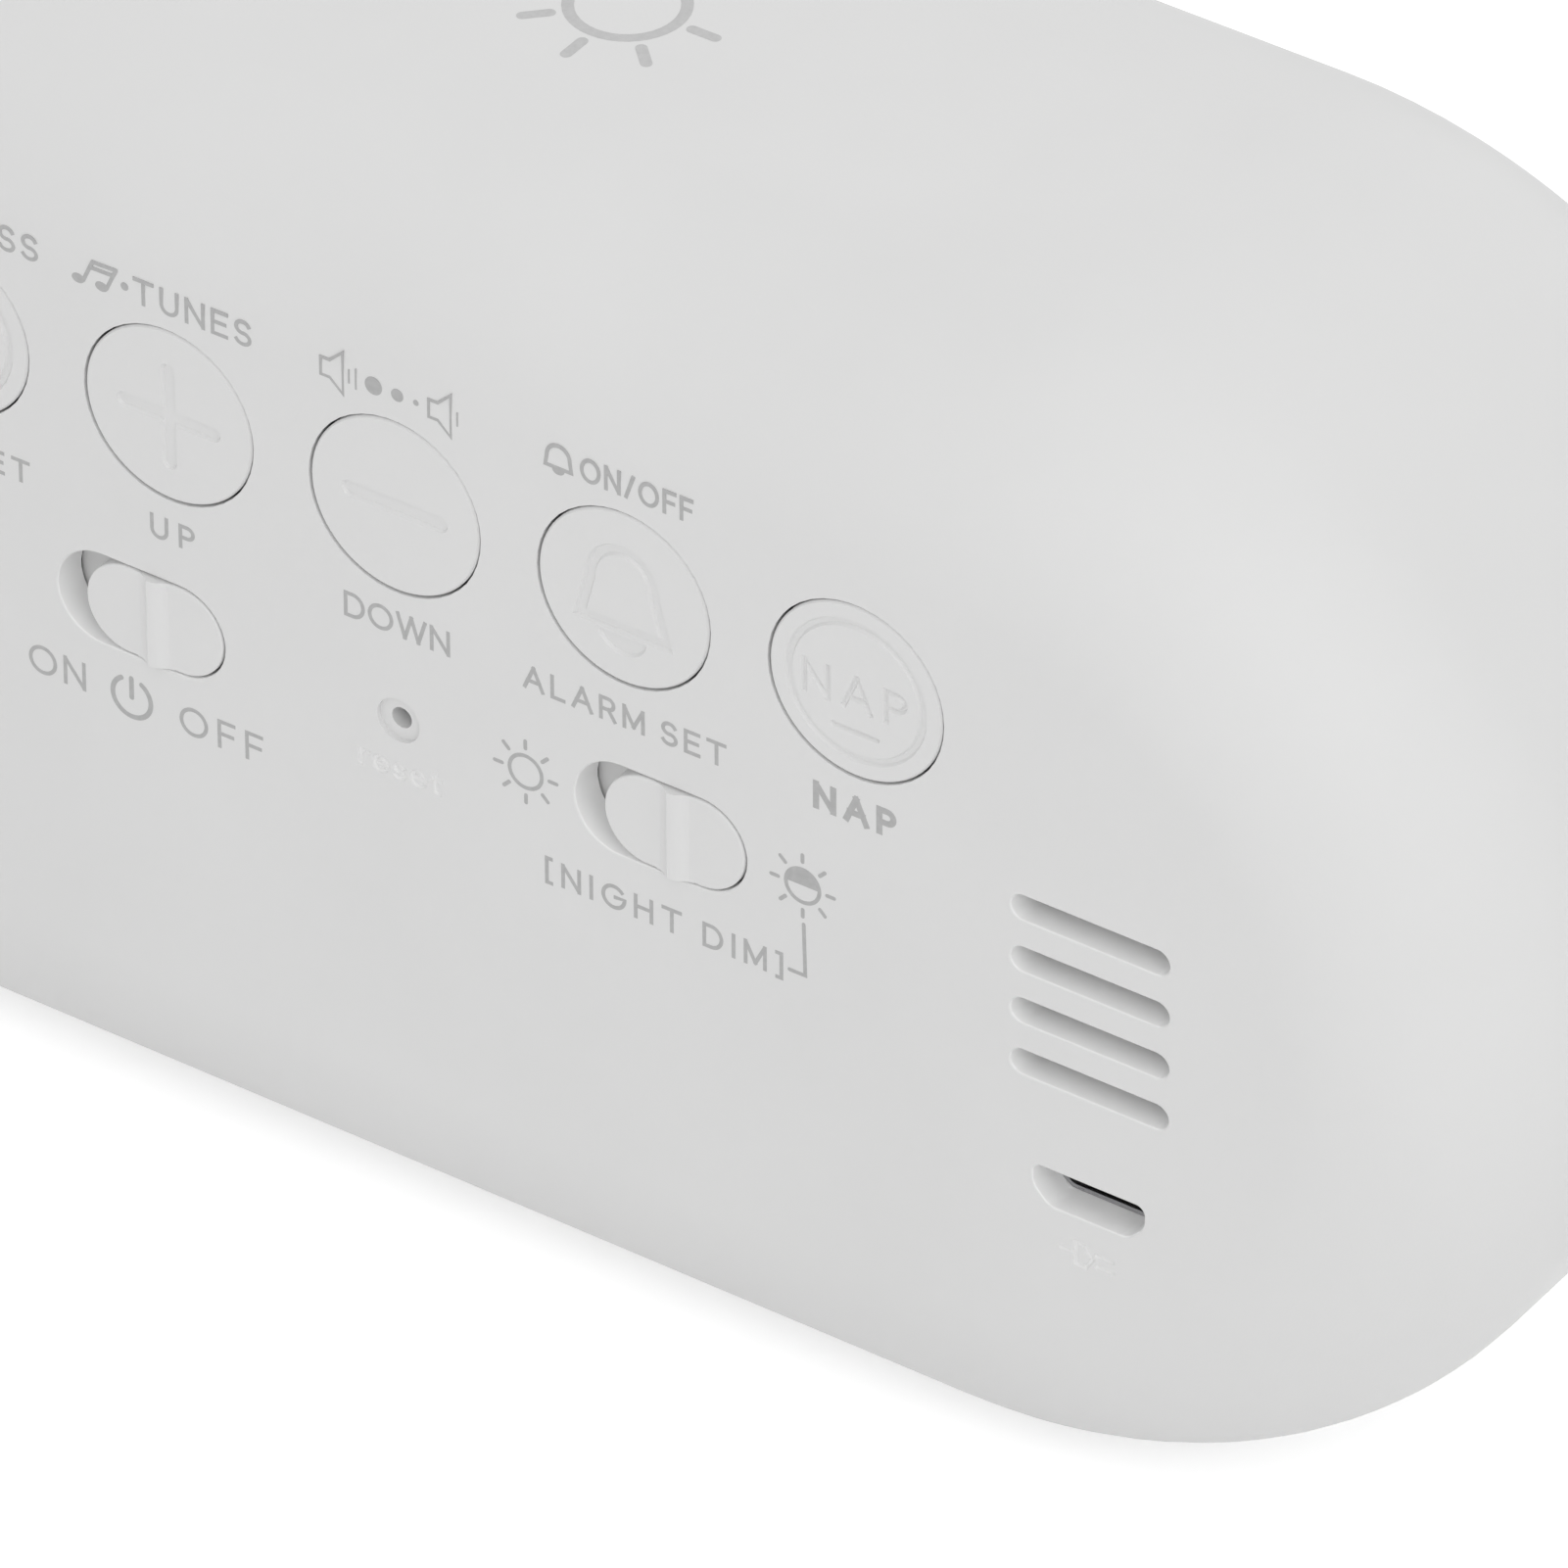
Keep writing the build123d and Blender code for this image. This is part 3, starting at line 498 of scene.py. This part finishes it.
class Finish:
    """A node material under construction, on the object's own coordinates."""

    def __init__(self, name, colour, roughness, **sockets):
        self.material = bpy.data.materials.new(name)
        self.material.use_nodes = True
        self.material.diffuse_color = (*colour, 1)
        self.tree = self.material.node_tree
        self.shader = self.tree.nodes["Principled BSDF"]
        self.colour = colour
        self.shader.inputs["Roughness"].default_value = roughness
        for socket, value in sockets.items():
            self.shader.inputs[socket.replace("_", " ")].default_value = value
        self.coords = self.node("ShaderNodeTexCoord").outputs["Object"]

    def node(self, kind, **values):
        """A new node with its inputs set by name."""
        made = self.tree.nodes.new(kind)
        for key, value in values.items():
            made.inputs[key.replace("_", " ")].default_value = value
        return made

    def link(self, source, target):
        """Join two sockets."""
        self.tree.links.new(source, target)

    def stretched(self, x, y, z):
        """Coordinates scaled along each axis."""
        mapping = self.node("ShaderNodeMapping", Scale=(x, y, z))
        self.link(self.coords, mapping.inputs["Vector"])
        return mapping.outputs["Vector"]

    def noise(self, grain, detail=3.0, coords=None):
        """Soft noise whose lumps are about one grain across, in millimetres."""
        made = self.node("ShaderNodeTexNoise", Scale=1 / (grain * MM), Detail=detail)
        self.link(coords or self.coords, made.inputs["Vector"])
        return made.outputs["Fac"]

    def cells(self, grain):
        """Cells about one grain across, in millimetres."""
        made = self.node("ShaderNodeTexVoronoi", Scale=1 / (grain * MM))
        self.link(self.coords, made.inputs["Vector"])
        return made.outputs["Distance"]

    def bands(self, pitch, axis, coords=None):
        """Even light and dark bands along an axis, each one pitch wide, in millimetres."""
        made = self.node("ShaderNodeTexWave", Scale=HALF_WAVE / (pitch * MM))
        made.bands_direction = axis
        self.link(coords or self.coords, made.inputs["Vector"])
        return made.outputs["Fac"]

    def tint(self, factor, low, high, socket="Base Color"):
        """Colour that follows a texture between two shades of the finish's own colour."""
        ramp = self.node("ShaderNodeValToRGB")
        for index, shade in enumerate((low, high)):
            stop = ramp.color_ramp.elements[index]
            stop.position = RAMP_ENDS[index]
            stop.color = (*[min(1, c * shade) for c in self.colour], 1)
        self.link(factor, ramp.inputs["Fac"])
        self.link(ramp.outputs["Color"], self.shader.inputs[socket])
        return self

    def inside(self, low, high, shallow, deep):
        """Grows from nought to one between two depths along -Y, within a box's width and height."""
        spot = self.node("ShaderNodeSeparateXYZ")
        self.link(self.coords, spot.inputs["Vector"])
        depth = self.node("ShaderNodeMapRange", From_Min=shallow, From_Max=deep)
        self.link(spot.outputs["Y"], depth.inputs["Value"])
        total = depth.outputs["Result"]
        for axis, a, b in (("X", low.x, high.x), ("Z", low.z, high.z)):
            band = self.node("ShaderNodeMath")
            band.operation = "COMPARE"
            self.link(spot.outputs[axis], band.inputs[0])
            band.inputs[1].default_value = (a + b) / 2
            band.inputs[2].default_value = (b - a) / 2
            both = self.node("ShaderNodeMath")
            both.operation = "MULTIPLY"
            self.link(total, both.inputs[0])
            self.link(band.outputs["Value"], both.inputs[1])
            total = both.outputs["Value"]
        return total

    def lighten(self, factor, share):
        """Colour raised to a share of its value where the factor is one."""
        source = self.shader.inputs["Base Color"].links[0].from_socket
        level = self.node("ShaderNodeMapRange", To_Min=1.0, To_Max=share)
        self.link(factor, level.inputs["Value"])
        shade = self.node("ShaderNodeHueSaturation")
        self.link(source, shade.inputs["Color"])
        self.link(level.outputs["Result"], shade.inputs["Value"])
        self.link(shade.outputs["Color"], self.shader.inputs["Base Color"])
        return self

    def sheen_range(self, factor, low, high):
        """Roughness that follows a texture."""
        spread = self.node("ShaderNodeMapRange", To_Min=low, To_Max=high)
        self.link(factor, spread.inputs["Value"])
        self.link(spread.outputs["Result"], self.shader.inputs["Roughness"])
        return self

    def relief(self, height, depth):
        """Fine surface relief, its depth in millimetres."""
        bump = self.node("ShaderNodeBump", Strength=1.0, Distance=depth * MM)
        self.link(height, bump.inputs["Height"])
        self.link(bump.outputs["Normal"], self.shader.inputs["Normal"])
        return self


def moulded(name, colour, roughness, spread=0.012, walls=()):
    """Moulded plastic with a fine spark-eroded texture, with painted light that makes given walls of its
    openings and marks lighter.
    """
    made = Finish(name, colour, roughness)
    made.tint(made.noise(grain=18, detail=4), low=1 - spread, high=1 + spread)
    # Painted light: walls inside these boxes are coloured lighter to offset the shade inside openings and
    # grooves.
    for low, high, share in walls:
        made.lighten(made.inside(low, high, *WALL_LEVELS), share)
    made.sheen_range(made.noise(grain=4), low=roughness - SHEEN_SPREAD, high=roughness + SHEEN_SPREAD)
    made.relief(made.noise(grain=0.22, detail=2), depth=0.006)
    return made.material


def plated(name, colour, roughness, streaks):
    """Plated or brushed metal with faint streaks."""
    made = Finish(name, colour, roughness, Metallic=1.0)
    drawn = made.noise(grain=0.6, detail=4, coords=made.stretched(*streaks))
    made.tint(drawn, low=0.88, high=1.08)
    made.sheen_range(drawn, low=roughness - 0.08, high=roughness + 0.1)
    made.relief(drawn, depth=0.004)
    return made.material


def board(name, colour):
    """A circuit board: solder mask over copper tracks."""
    made = Finish(name, colour, 0.38, Coat_Weight=0.3)
    tracks = made.bands(pitch=1.6, axis="X", coords=made.stretched(1, 1, 0.6))
    made.tint(tracks, low=0.8, high=1.25)
    made.relief(tracks, depth=0.02)
    return made.material


def rubbery(name, colour, roughness, grain, depth):
    """Soft rubber, foam or sleeve."""
    made = Finish(name, colour, roughness)
    made.tint(made.noise(grain=grain * 8), low=0.92, high=1.08)
    made.relief(made.cells(grain), depth)
    return made.material


def fibrous(name, colour):
    """Pressed paper pulp."""
    made = Finish(name, colour, 0.85)
    made.tint(made.noise(grain=0.5, detail=6), low=0.75, high=1.25)
    made.relief(made.noise(grain=0.3, detail=6), depth=0.05)
    return made.material


def ribbed(name, colour, pitch, axis):
    """A flat cable of side-by-side cores, with painted shade that darkens the grooves between them."""
    made = Finish(name, colour, 0.5)
    cores = made.bands(pitch, axis)
    # Painted shade: the colour follows the relief, darker in the grooves between the cores.
    made.tint(cores, low=0.8, high=1.06)
    made.relief(cores, depth=0.12)
    return made.material


def smoked(name, colour):
    """A dark see-through window with a polished face."""
    made = Finish(name, colour, 0.04, Transmission_Weight=1.0, IOR=1.49, Specular_IOR_Level=0.25)
    made.tint(made.noise(grain=30, detail=2), low=0.97, high=1.03)
    made.sheen_range(made.noise(grain=6), low=0.03, high=0.06)
    made.relief(made.noise(grain=25, detail=1), depth=0.004)
    return made.material


def milky(name, colour):
    """A satin light diffuser that lets light sink in."""
    made = Finish(name, colour, 0.42, Subsurface_Weight=0.5, Subsurface_Scale=0.003)
    made.shader.inputs["Subsurface Radius"].default_value = (1.0, 0.95, 0.9)
    made.tint(made.noise(grain=14, detail=3), low=0.985, high=1.01)
    made.relief(made.noise(grain=0.3, detail=2), depth=0.004)
    return made.material


def lamp(name, colour, strength):
    """A lit window, a little brighter in patches."""
    made = Finish(name, colour, 0.4, Emission_Strength=strength)
    glow = made.noise(grain=3, detail=2)
    for socket in ("Base Color", "Emission Color"):
        made.tint(glow, low=0.9, high=1.0, socket=socket)
    return made.material


def ink(name, colour):
    """Pad-printed ink with slight mottling."""
    made = Finish(name, colour, 0.6)
    made.tint(made.noise(grain=0.35, detail=4), low=0.95, high=1.05)
    made.relief(made.noise(grain=0.2, detail=2), depth=0.004)
    return made.material


WHITE = (0.735, 0.735, 0.733)

# Painted light on walls of the shell: how much lighter they are painted, where it starts and where it is
# full.
# They lie round the pieces behind its openings and in the boxes of its two sunk marks.
WALL_PAINTED_LIGHT = 1.3
MARK_PAINTED_LIGHT = 1.1
WALL_MARGIN = Vector((MM, 0, MM))
WALL_LEVELS = (rear_face - 0.02 * MM, rear_face - 0.1 * MM)
MARK_BOXES = (((3.5, -20.4), (-3.4, -18.1)), ((51.7, -35.7), (47.3, -33.3)))
behind_openings = [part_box(node) for node in ("power_knob", "dimmer_knob", "speaker_frame", "usb_shell")]
# Boxes of painted light: the shell's walls in them are coloured lighter to offset the shade there.
painted_light_walls = [(low - WALL_MARGIN, high + WALL_MARGIN, WALL_PAINTED_LIGHT) for low, high in behind_openings]
painted_light_walls += [(panel(*low, 0), panel(*high, 0), MARK_PAINTED_LIGHT) for low, high in MARK_BOXES]

DIGIT_GLOW = 26.0
finishes = {
    "shell_white": moulded("shell_white", WHITE, 0.55, walls=painted_light_walls),
    "cap_white": moulded("cap_white", WHITE, 0.52),
    "milky_diffuser": milky("milky_diffuser", (0.86, 0.855, 0.84)),
    "smoked_lens": smoked("smoked_lens", (0.05, 0.05, 0.053)),
    "frame_white": moulded("frame_white", (0.66, 0.66, 0.65), 0.45),
    "board_green": board("board_green", (0.02, 0.12, 0.05)),
    "board_white": board("board_white", (0.7, 0.7, 0.68)),
    "led_package": moulded("led_package", (0.8, 0.68, 0.25), 0.25, spread=0.08),
    "display_black": moulded("display_black", (0.006, 0.006, 0.007), 0.6, spread=0.2),
    "segment_window": moulded("segment_window", (0.12, 0.12, 0.125), 0.4, spread=0.06),
    "switch_case": moulded("switch_case", (0.012, 0.012, 0.013), 0.5, spread=0.15),
    "switch_plunger": moulded("switch_plunger", (0.02, 0.02, 0.022), 0.45, spread=0.15),
    "switch_metal": plated("switch_metal", (0.6, 0.6, 0.58), 0.3, (1, 6, 6)),
    "screw_steel": plated("screw_steel", (0.5, 0.5, 0.5), 0.32, (4, 4, 4)),
    "chip_black": moulded("chip_black", (0.01, 0.01, 0.01), 0.6, spread=0.2),
    "usb_metal": plated("usb_metal", (0.45, 0.45, 0.46), 0.3, (1, 8, 8)),
    "usb_insulator": moulded("usb_insulator", (0.008, 0.008, 0.009), 0.5, spread=0.15),
    "foam_seal": rubbery("foam_seal", (0.02, 0.02, 0.02), 0.95, 0.4, 0.12),
    "speaker_basket": moulded("speaker_basket", (0.018, 0.018, 0.018), 0.4, spread=0.15),
    "speaker_paper": fibrous("speaker_paper", (0.012, 0.012, 0.012)),
    "magnet": plated("magnet", (0.2, 0.2, 0.21), 0.45, (4, 4, 4)),
    "cell_wrap": moulded("cell_wrap", (0.02, 0.09, 0.26), 0.25, spread=0.06),
    "contact_nickel": plated("contact_nickel", (0.62, 0.6, 0.56), 0.28, (6, 6, 1)),
    "lead_sleeve": rubbery("lead_sleeve", (0.32, 0.012, 0.01), 0.5, 0.5, 0.01),
    "ribbon_sleeve": ribbed("ribbon_sleeve", (0.55, 0.55, 0.52), 1.0, "X"),
    "touch_foil": plated("touch_foil", (0.72, 0.36, 0.16), 0.3, (1, 5, 1)),
    "foot_silicone": rubbery("foot_silicone", (0.42, 0.42, 0.415), 0.7, 0.5, 0.01),
}
print_grey = ink("print_grey", (0.44, 0.44, 0.44))
digit_light = lamp("digit_light", (1.0, 0.97, 0.92), DIGIT_GLOW)

for part in frame["record"]["subparts"]:
    node = frame["nodes"][part["node"]]
    node.data.materials.clear()
    node.data.materials.append(finishes[part["material_slot"]])


# Printed marks on the rear panel and the top

prints = {
    "print_brightness": word("BRIGHTNESS", -42.5, -25.9, 7.3, 9.15),
    "print_time_set": word("TIME SET", -38.95, -27.03, -9.35, -7.65),
    "print_tunes": note_sign()
    + fill(circle(-19.52, 8.18, 0.28))
    + word("TUNES", -18.9, -10.24, 7.3, 9.15),
    "print_up": word("UP", -18.11, -14.81, -9.41, -7.65),
    "print_volume": speaker_sign(-5.2, -4.55, -3.6)
    + line((-3.15, 7.7), (-3.15, 8.6), width=HAIR_WIDTH)
    + line((-2.65, 7.45), (-2.65, 8.85), width=HAIR_WIDTH)
    + fill(circle(-1.37, SIGN_LEVEL, BIG_DOT))
    + fill(circle(0.35, SIGN_LEVEL, MID_DOT))
    + fill(circle(1.7, SIGN_LEVEL, SMALL_DOT))
    + speaker_sign(2.62, 3.27, 4.2)
    + line((4.68, 7.7), (4.68, 8.6), width=HAIR_WIDTH),
    "print_down": word("DOWN", -3.86, 3.88, -9.45, -7.6),
    "print_alarm_switch": loop(bell(11.94, 7.55, 9.13, 0.93, 0.82, 8.3))
    + fill([(12.45, 7.5), (11.43, 7.5), *arc(11.94, 7.45, 0.45, 0.37, 180, 360)])
    + word("ON/OFF", 13.49, 21.57, 7.35, 9.1, narrow=0.82),
    "print_alarm_set": word("ALARM SET", 9.17, 23.82, -9.4, -7.65),
    "print_nap": word("NAP", 30.0, 35.93, -9.6, -7.56, BOLD_WIDTH),
    "print_on": word("ON", -27.55, -23.29, -23.1, -21.0),
    "print_power": line(*arc(-19.86, -22.1, 1.42, 1.42, 122, 418), width=POWER_WIDTH)
    + line((-19.86, -20.7), (-19.86, -22.1), width=POWER_WIDTH),
    "print_off": word("OFF", -16.3, -10.09, -23.16, -21.05),
    "print_full_light": sun(9.27, -15.61, 1.17, 1.72, 2.25),
    "print_half_light": sun(29.23, -15.68, 1.2, 1.75, 2.25)
    + fill(arc(29.23, -15.68, 1.16, 1.16, 2, 178)),
    "print_night_dim": word("[NIGHT DIM]", 10.59, 27.81, -23.1, -21.3)
    + line((28.26, -22.22), (29.4, -22.22), (29.3, -18.5)),
}
for name, strokes in prints.items():
    mark = drawing(name, panel, strokes, PRINT_LEVELS)
    dress(mark, print_grey, "housing")

top_grey = ink("top_grey", (0.53, 0.53, 0.53))
light_mark = drawing("print_touch_light", roof, sun(0, 0, 3.56, 4.68, 6.33, TOP_WIDTH), PRINT_LEVELS)
dress(light_mark, top_grey, "housing")


# Shell and button caps with sunk marks

def cad_copy(node, name):
    """A new welded copy of a CAD node's mesh."""
    bm = bmesh.new()
    bm.from_mesh(frame["nodes"][node].data)
    bmesh.ops.remove_doubles(bm, verts=bm.verts, dist=WELD)
    mesh = bpy.data.meshes.new(name)
    bm.to_mesh(mesh)
    bm.free()
    for kept in ("custom_normal", "sharp_edge", "sharp_face"):
        layer = mesh.attributes.get(kept)
        if layer:
            mesh.attributes.remove(layer)
    piece = bpy.data.objects.new(name, mesh)
    bpy.context.scene.collection.objects.link(piece)
    return piece


sunk = {
    "time": loop(circle(0, 0, RING_RADIUS), RING_WIDTH)
    + line((0, 2.5), (0, 0), (1.7, -1.0), width=HAND_WIDTH),
    "up": line((-ARM, -0.1), (ARM, -0.1), width=BAR)
    + line((0, -ARM - 0.1), (0, ARM - 0.1), width=BAR),
    "down": line((-ARM, 0), (ARM, 0), width=BAR + 0.1),
    "alarm": loop(bell(-0.1, -2.22, 3.35, 3.1, 2.3, 0.8), BELL_WIDTH)
    + fill(arc(-0.1, -2.8, 1.7, 1.35, 360, 180)),
    "nap": loop(circle(0, 0, RING_RADIUS), RING_WIDTH)
    + word("NAP", -3.85, 3.7, -1.45, 1.15, CAP_WORD_WIDTH)
    + line((-1.6, -2.9), (1.5, -2.9), width=CAP_WORD_WIDTH),
}
plug_body = [(48.7, -35.3), (49.4, -35.3), (49.9, -34.5), (49.4, -33.7), (48.7, -33.7)]
panel_marks = (
    word("reset", -3.04, 3.14, -20.1, -18.4, SUNK_WIDTH)
    + line((47.7, -34.5), (48.6, -34.5), width=SUNK_WIDTH)
    + loop(plug_body, SUNK_WIDTH)
    + line((50.2, -34.9), (51.3, -34.9), width=SUNK_WIDTH)
    + line((50.2, -34.1), (51.3, -34.1), width=SUNK_WIDTH)
)


def carved(node, name, place, strokes, depth, flare):
    """A copy of a CAD node with a drawing sunk in its face."""
    piece = cad_copy(node, name)
    levels = (-depth, depth * CUTTER_RISE)
    spread = (-flare, flare * CUTTER_RISE)
    cutter = drawing(name + "_cutter", place, strokes, levels, spread)
    combine(piece, cutter, "DIFFERENCE")
    settle(piece)
    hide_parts(node)
    return piece


shell = carved("rear_shell", "marked_shell", panel, panel_marks, SHALLOW_DEPTH, SHALLOW_FLARE)
dress(shell, finishes["shell_white"], "housing")
for name, strokes in sunk.items():
    piece = carved(name + "_button", name + "_cap", cap(name), strokes, CARVE_DEPTH, CARVE_FLARE)
    dress(piece, finishes["cap_white"], name + "_key")


# Lit digits on the display

DIGIT_PLACES = (-33.5, -13.5, 13.5, 33.5)
DIGIT_WIDTH = 13.0
DIGIT_HEIGHT = 23.0
SEGMENT_WIDTH = 2.6
SEGMENT_GAP = 0.7
COLON_OFFSET = 4.5
COLON_RADIUS = 1.4
LIT_LEVELS = (0.01, 0.06)
SHOWN_TIME = "1008"
SEGMENTS_OF = {"0": "abcdef", "1": "bc", "8": "abcdefg"}


def segment(u, v, length, upright):
    """Outline of one lit bar with pointed ends."""
    half = length / 2 - SEGMENT_GAP / 2
    tip = SEGMENT_WIDTH / 2 - SEGMENT_GAP / 4
    shoulder = half - tip
    corners = [
        (-half, 0),
        (-shoulder, -tip),
        (shoulder, -tip),
        (half, 0),
        (shoulder, tip),
        (-shoulder, tip),
    ]
    if upright:
        corners = [(-y, x) for x, y in corners]
    return [(u + x, v + y) for x, y in corners]


def digit(shown, u):
    """Lit bars of one digit."""
    bar = DIGIT_WIDTH - SEGMENT_WIDTH
    rise = (DIGIT_HEIGHT - SEGMENT_WIDTH) / 2
    side = bar / 2
    places = {
        "a": (0, rise, bar, False),
        "b": (side, rise / 2, rise, True),
        "c": (side, -rise / 2, rise, True),
        "d": (0, -rise, bar, False),
        "e": (-side, -rise / 2, rise, True),
        "f": (-side, rise / 2, rise, True),
        "g": (0, 0, bar, False),
    }
    strokes = []
    for key in SEGMENTS_OF[shown]:
        x, y, length, upright = places[key]
        strokes += fill(segment(u + x, y, length, upright))
    return strokes


lit = fill(circle(0, COLON_OFFSET, COLON_RADIUS)) + fill(circle(0, -COLON_OFFSET, COLON_RADIUS))
for shown, place in zip(SHOWN_TIME, DIGIT_PLACES):
    lit += digit(shown, place)
dress(drawing("lit_digits", digits, lit, LIT_LEVELS), digit_light, "housing")


# Stage, light and camera

FLOOR_HALF = 3.0
FLOOR_GAP = 0.0002
FLOOR_COLOUR = (0.9, 0.9, 0.9, 1)
FLOOR_GLOW = 0.5
SKY_STRENGTH = 0.68
LIGHT_AIM = (0, 0, 0.04)
LIGHTS = {
    "key_light": ((-0.92, 1.32, 1.2), 1.4, 7.6),
    "side_light": ((-1.7, 0.5, 1.1), 1.4, 3.6),
    "top_light": ((0, 0.1, 2.0), 1.6, 3.6),
    "front_light": ((0.5, -1.6, 1.1), 1.4, 3.6),
}


def seen_rays(tree):
    """One for camera, mirror and see-through rays, and nought for light that falls on things."""
    path = tree.nodes.new("ShaderNodeLightPath")
    total = path.outputs["Is Camera Ray"]
    for name in ("Is Glossy Ray", "Is Transmission Ray"):
        join = tree.nodes.new("ShaderNodeMath")
        join.operation = "MAXIMUM"
        tree.links.new(total, join.inputs[0])
        tree.links.new(path.outputs[name], join.inputs[1])
        total = join.outputs["Value"]
    return total


def white_floor():
    """A pale floor that keeps the clock's shadow."""
    bpy.ops.mesh.primitive_plane_add(size=2 * FLOOR_HALF)
    floor = bpy.context.object
    floor.name = "floor"
    floor.location.z = -FLOOR_GAP
    material = bpy.data.materials.new("floor_white")
    material.use_nodes = True
    tree = material.node_tree
    tree.nodes.clear()
    matte = tree.nodes.new("ShaderNodeBsdfDiffuse")
    matte.inputs["Color"].default_value = FLOOR_COLOUR
    glow = tree.nodes.new("ShaderNodeEmission")
    scale = tree.nodes.new("ShaderNodeMath")
    scale.operation = "MULTIPLY"
    scale.inputs[1].default_value = FLOOR_GLOW
    tree.links.new(seen_rays(tree), scale.inputs[0])
    tree.links.new(scale.outputs["Value"], glow.inputs["Strength"])
    both = tree.nodes.new("ShaderNodeAddShader")
    tree.links.new(matte.outputs["BSDF"], both.inputs[0])
    tree.links.new(glow.outputs["Emission"], both.inputs[1])
    output = tree.nodes.new("ShaderNodeOutputMaterial")
    tree.links.new(both.outputs["Shader"], output.inputs["Surface"])
    floor.data.materials.append(material)


def white_sky():
    """Even light from all round, seen as white."""
    world = bpy.data.worlds.new("studio")
    bpy.context.scene.world = world
    world.use_nodes = True
    tree = world.node_tree
    back = tree.nodes["Background"]
    back.inputs["Color"].default_value = (1, 1, 1, 1)
    level = tree.nodes.new("ShaderNodeMapRange")
    level.inputs["To Min"].default_value = SKY_STRENGTH
    level.inputs["To Max"].default_value = 1.0
    tree.links.new(seen_rays(tree), level.inputs["Value"])
    tree.links.new(level.outputs["Result"], back.inputs["Strength"])


def soft_lamp(name, place, aim, size, power):
    """A square soft light aimed at a point."""
    data = bpy.data.lights.new(name, "AREA")
    data.size = size
    data.energy = power
    lamp_object = bpy.data.objects.new(name, data)
    lamp_object.location = place
    way = Vector(aim) - Vector(place)
    lamp_object.rotation_euler = way.to_track_quat("-Z", "Y").to_euler()
    bpy.context.scene.collection.objects.link(lamp_object)


def photo_camera():
    """The camera at the photograph's place."""
    azimuth = math.radians(VIEW_AZIMUTH)
    elevation = math.radians(VIEW_ELEVATION)
    roll = math.radians(VIEW_ROLL)
    level = Vector((-math.sin(azimuth), math.cos(azimuth), 0))
    right = Vector((math.cos(azimuth), math.sin(azimuth), 0))
    forward = level * math.cos(elevation) - Vector((0, 0, math.sin(elevation)))
    up = right.cross(forward)
    aim = panel(0, 0, 0) + right * VIEW_OFFSET[0] + up * VIEW_OFFSET[1]
    x_axis = right * math.cos(roll) + up * math.sin(roll)
    y_axis = up * math.cos(roll) - right * math.sin(roll)
    data = bpy.data.cameras.new("photo_camera")
    data.lens = LENS_MM
    data.sensor_width = SENSOR_MM
    data.clip_start, data.clip_end = CLIP_RANGE
    camera = bpy.data.objects.new("photo_camera", data)
    camera.matrix_world = Matrix.Translation(aim - forward * VIEW_DISTANCE) @ Matrix(
        (x_axis, y_axis, -forward)
    ).transposed().to_4x4()
    bpy.context.scene.collection.objects.link(camera)
    bpy.context.scene.camera = camera


white_floor()
white_sky()
for name, (place, size, power) in LIGHTS.items():
    soft_lamp(name, place, LIGHT_AIM, size, power)
photo_camera()
bpy.context.scene.view_settings.view_transform = "Standard"
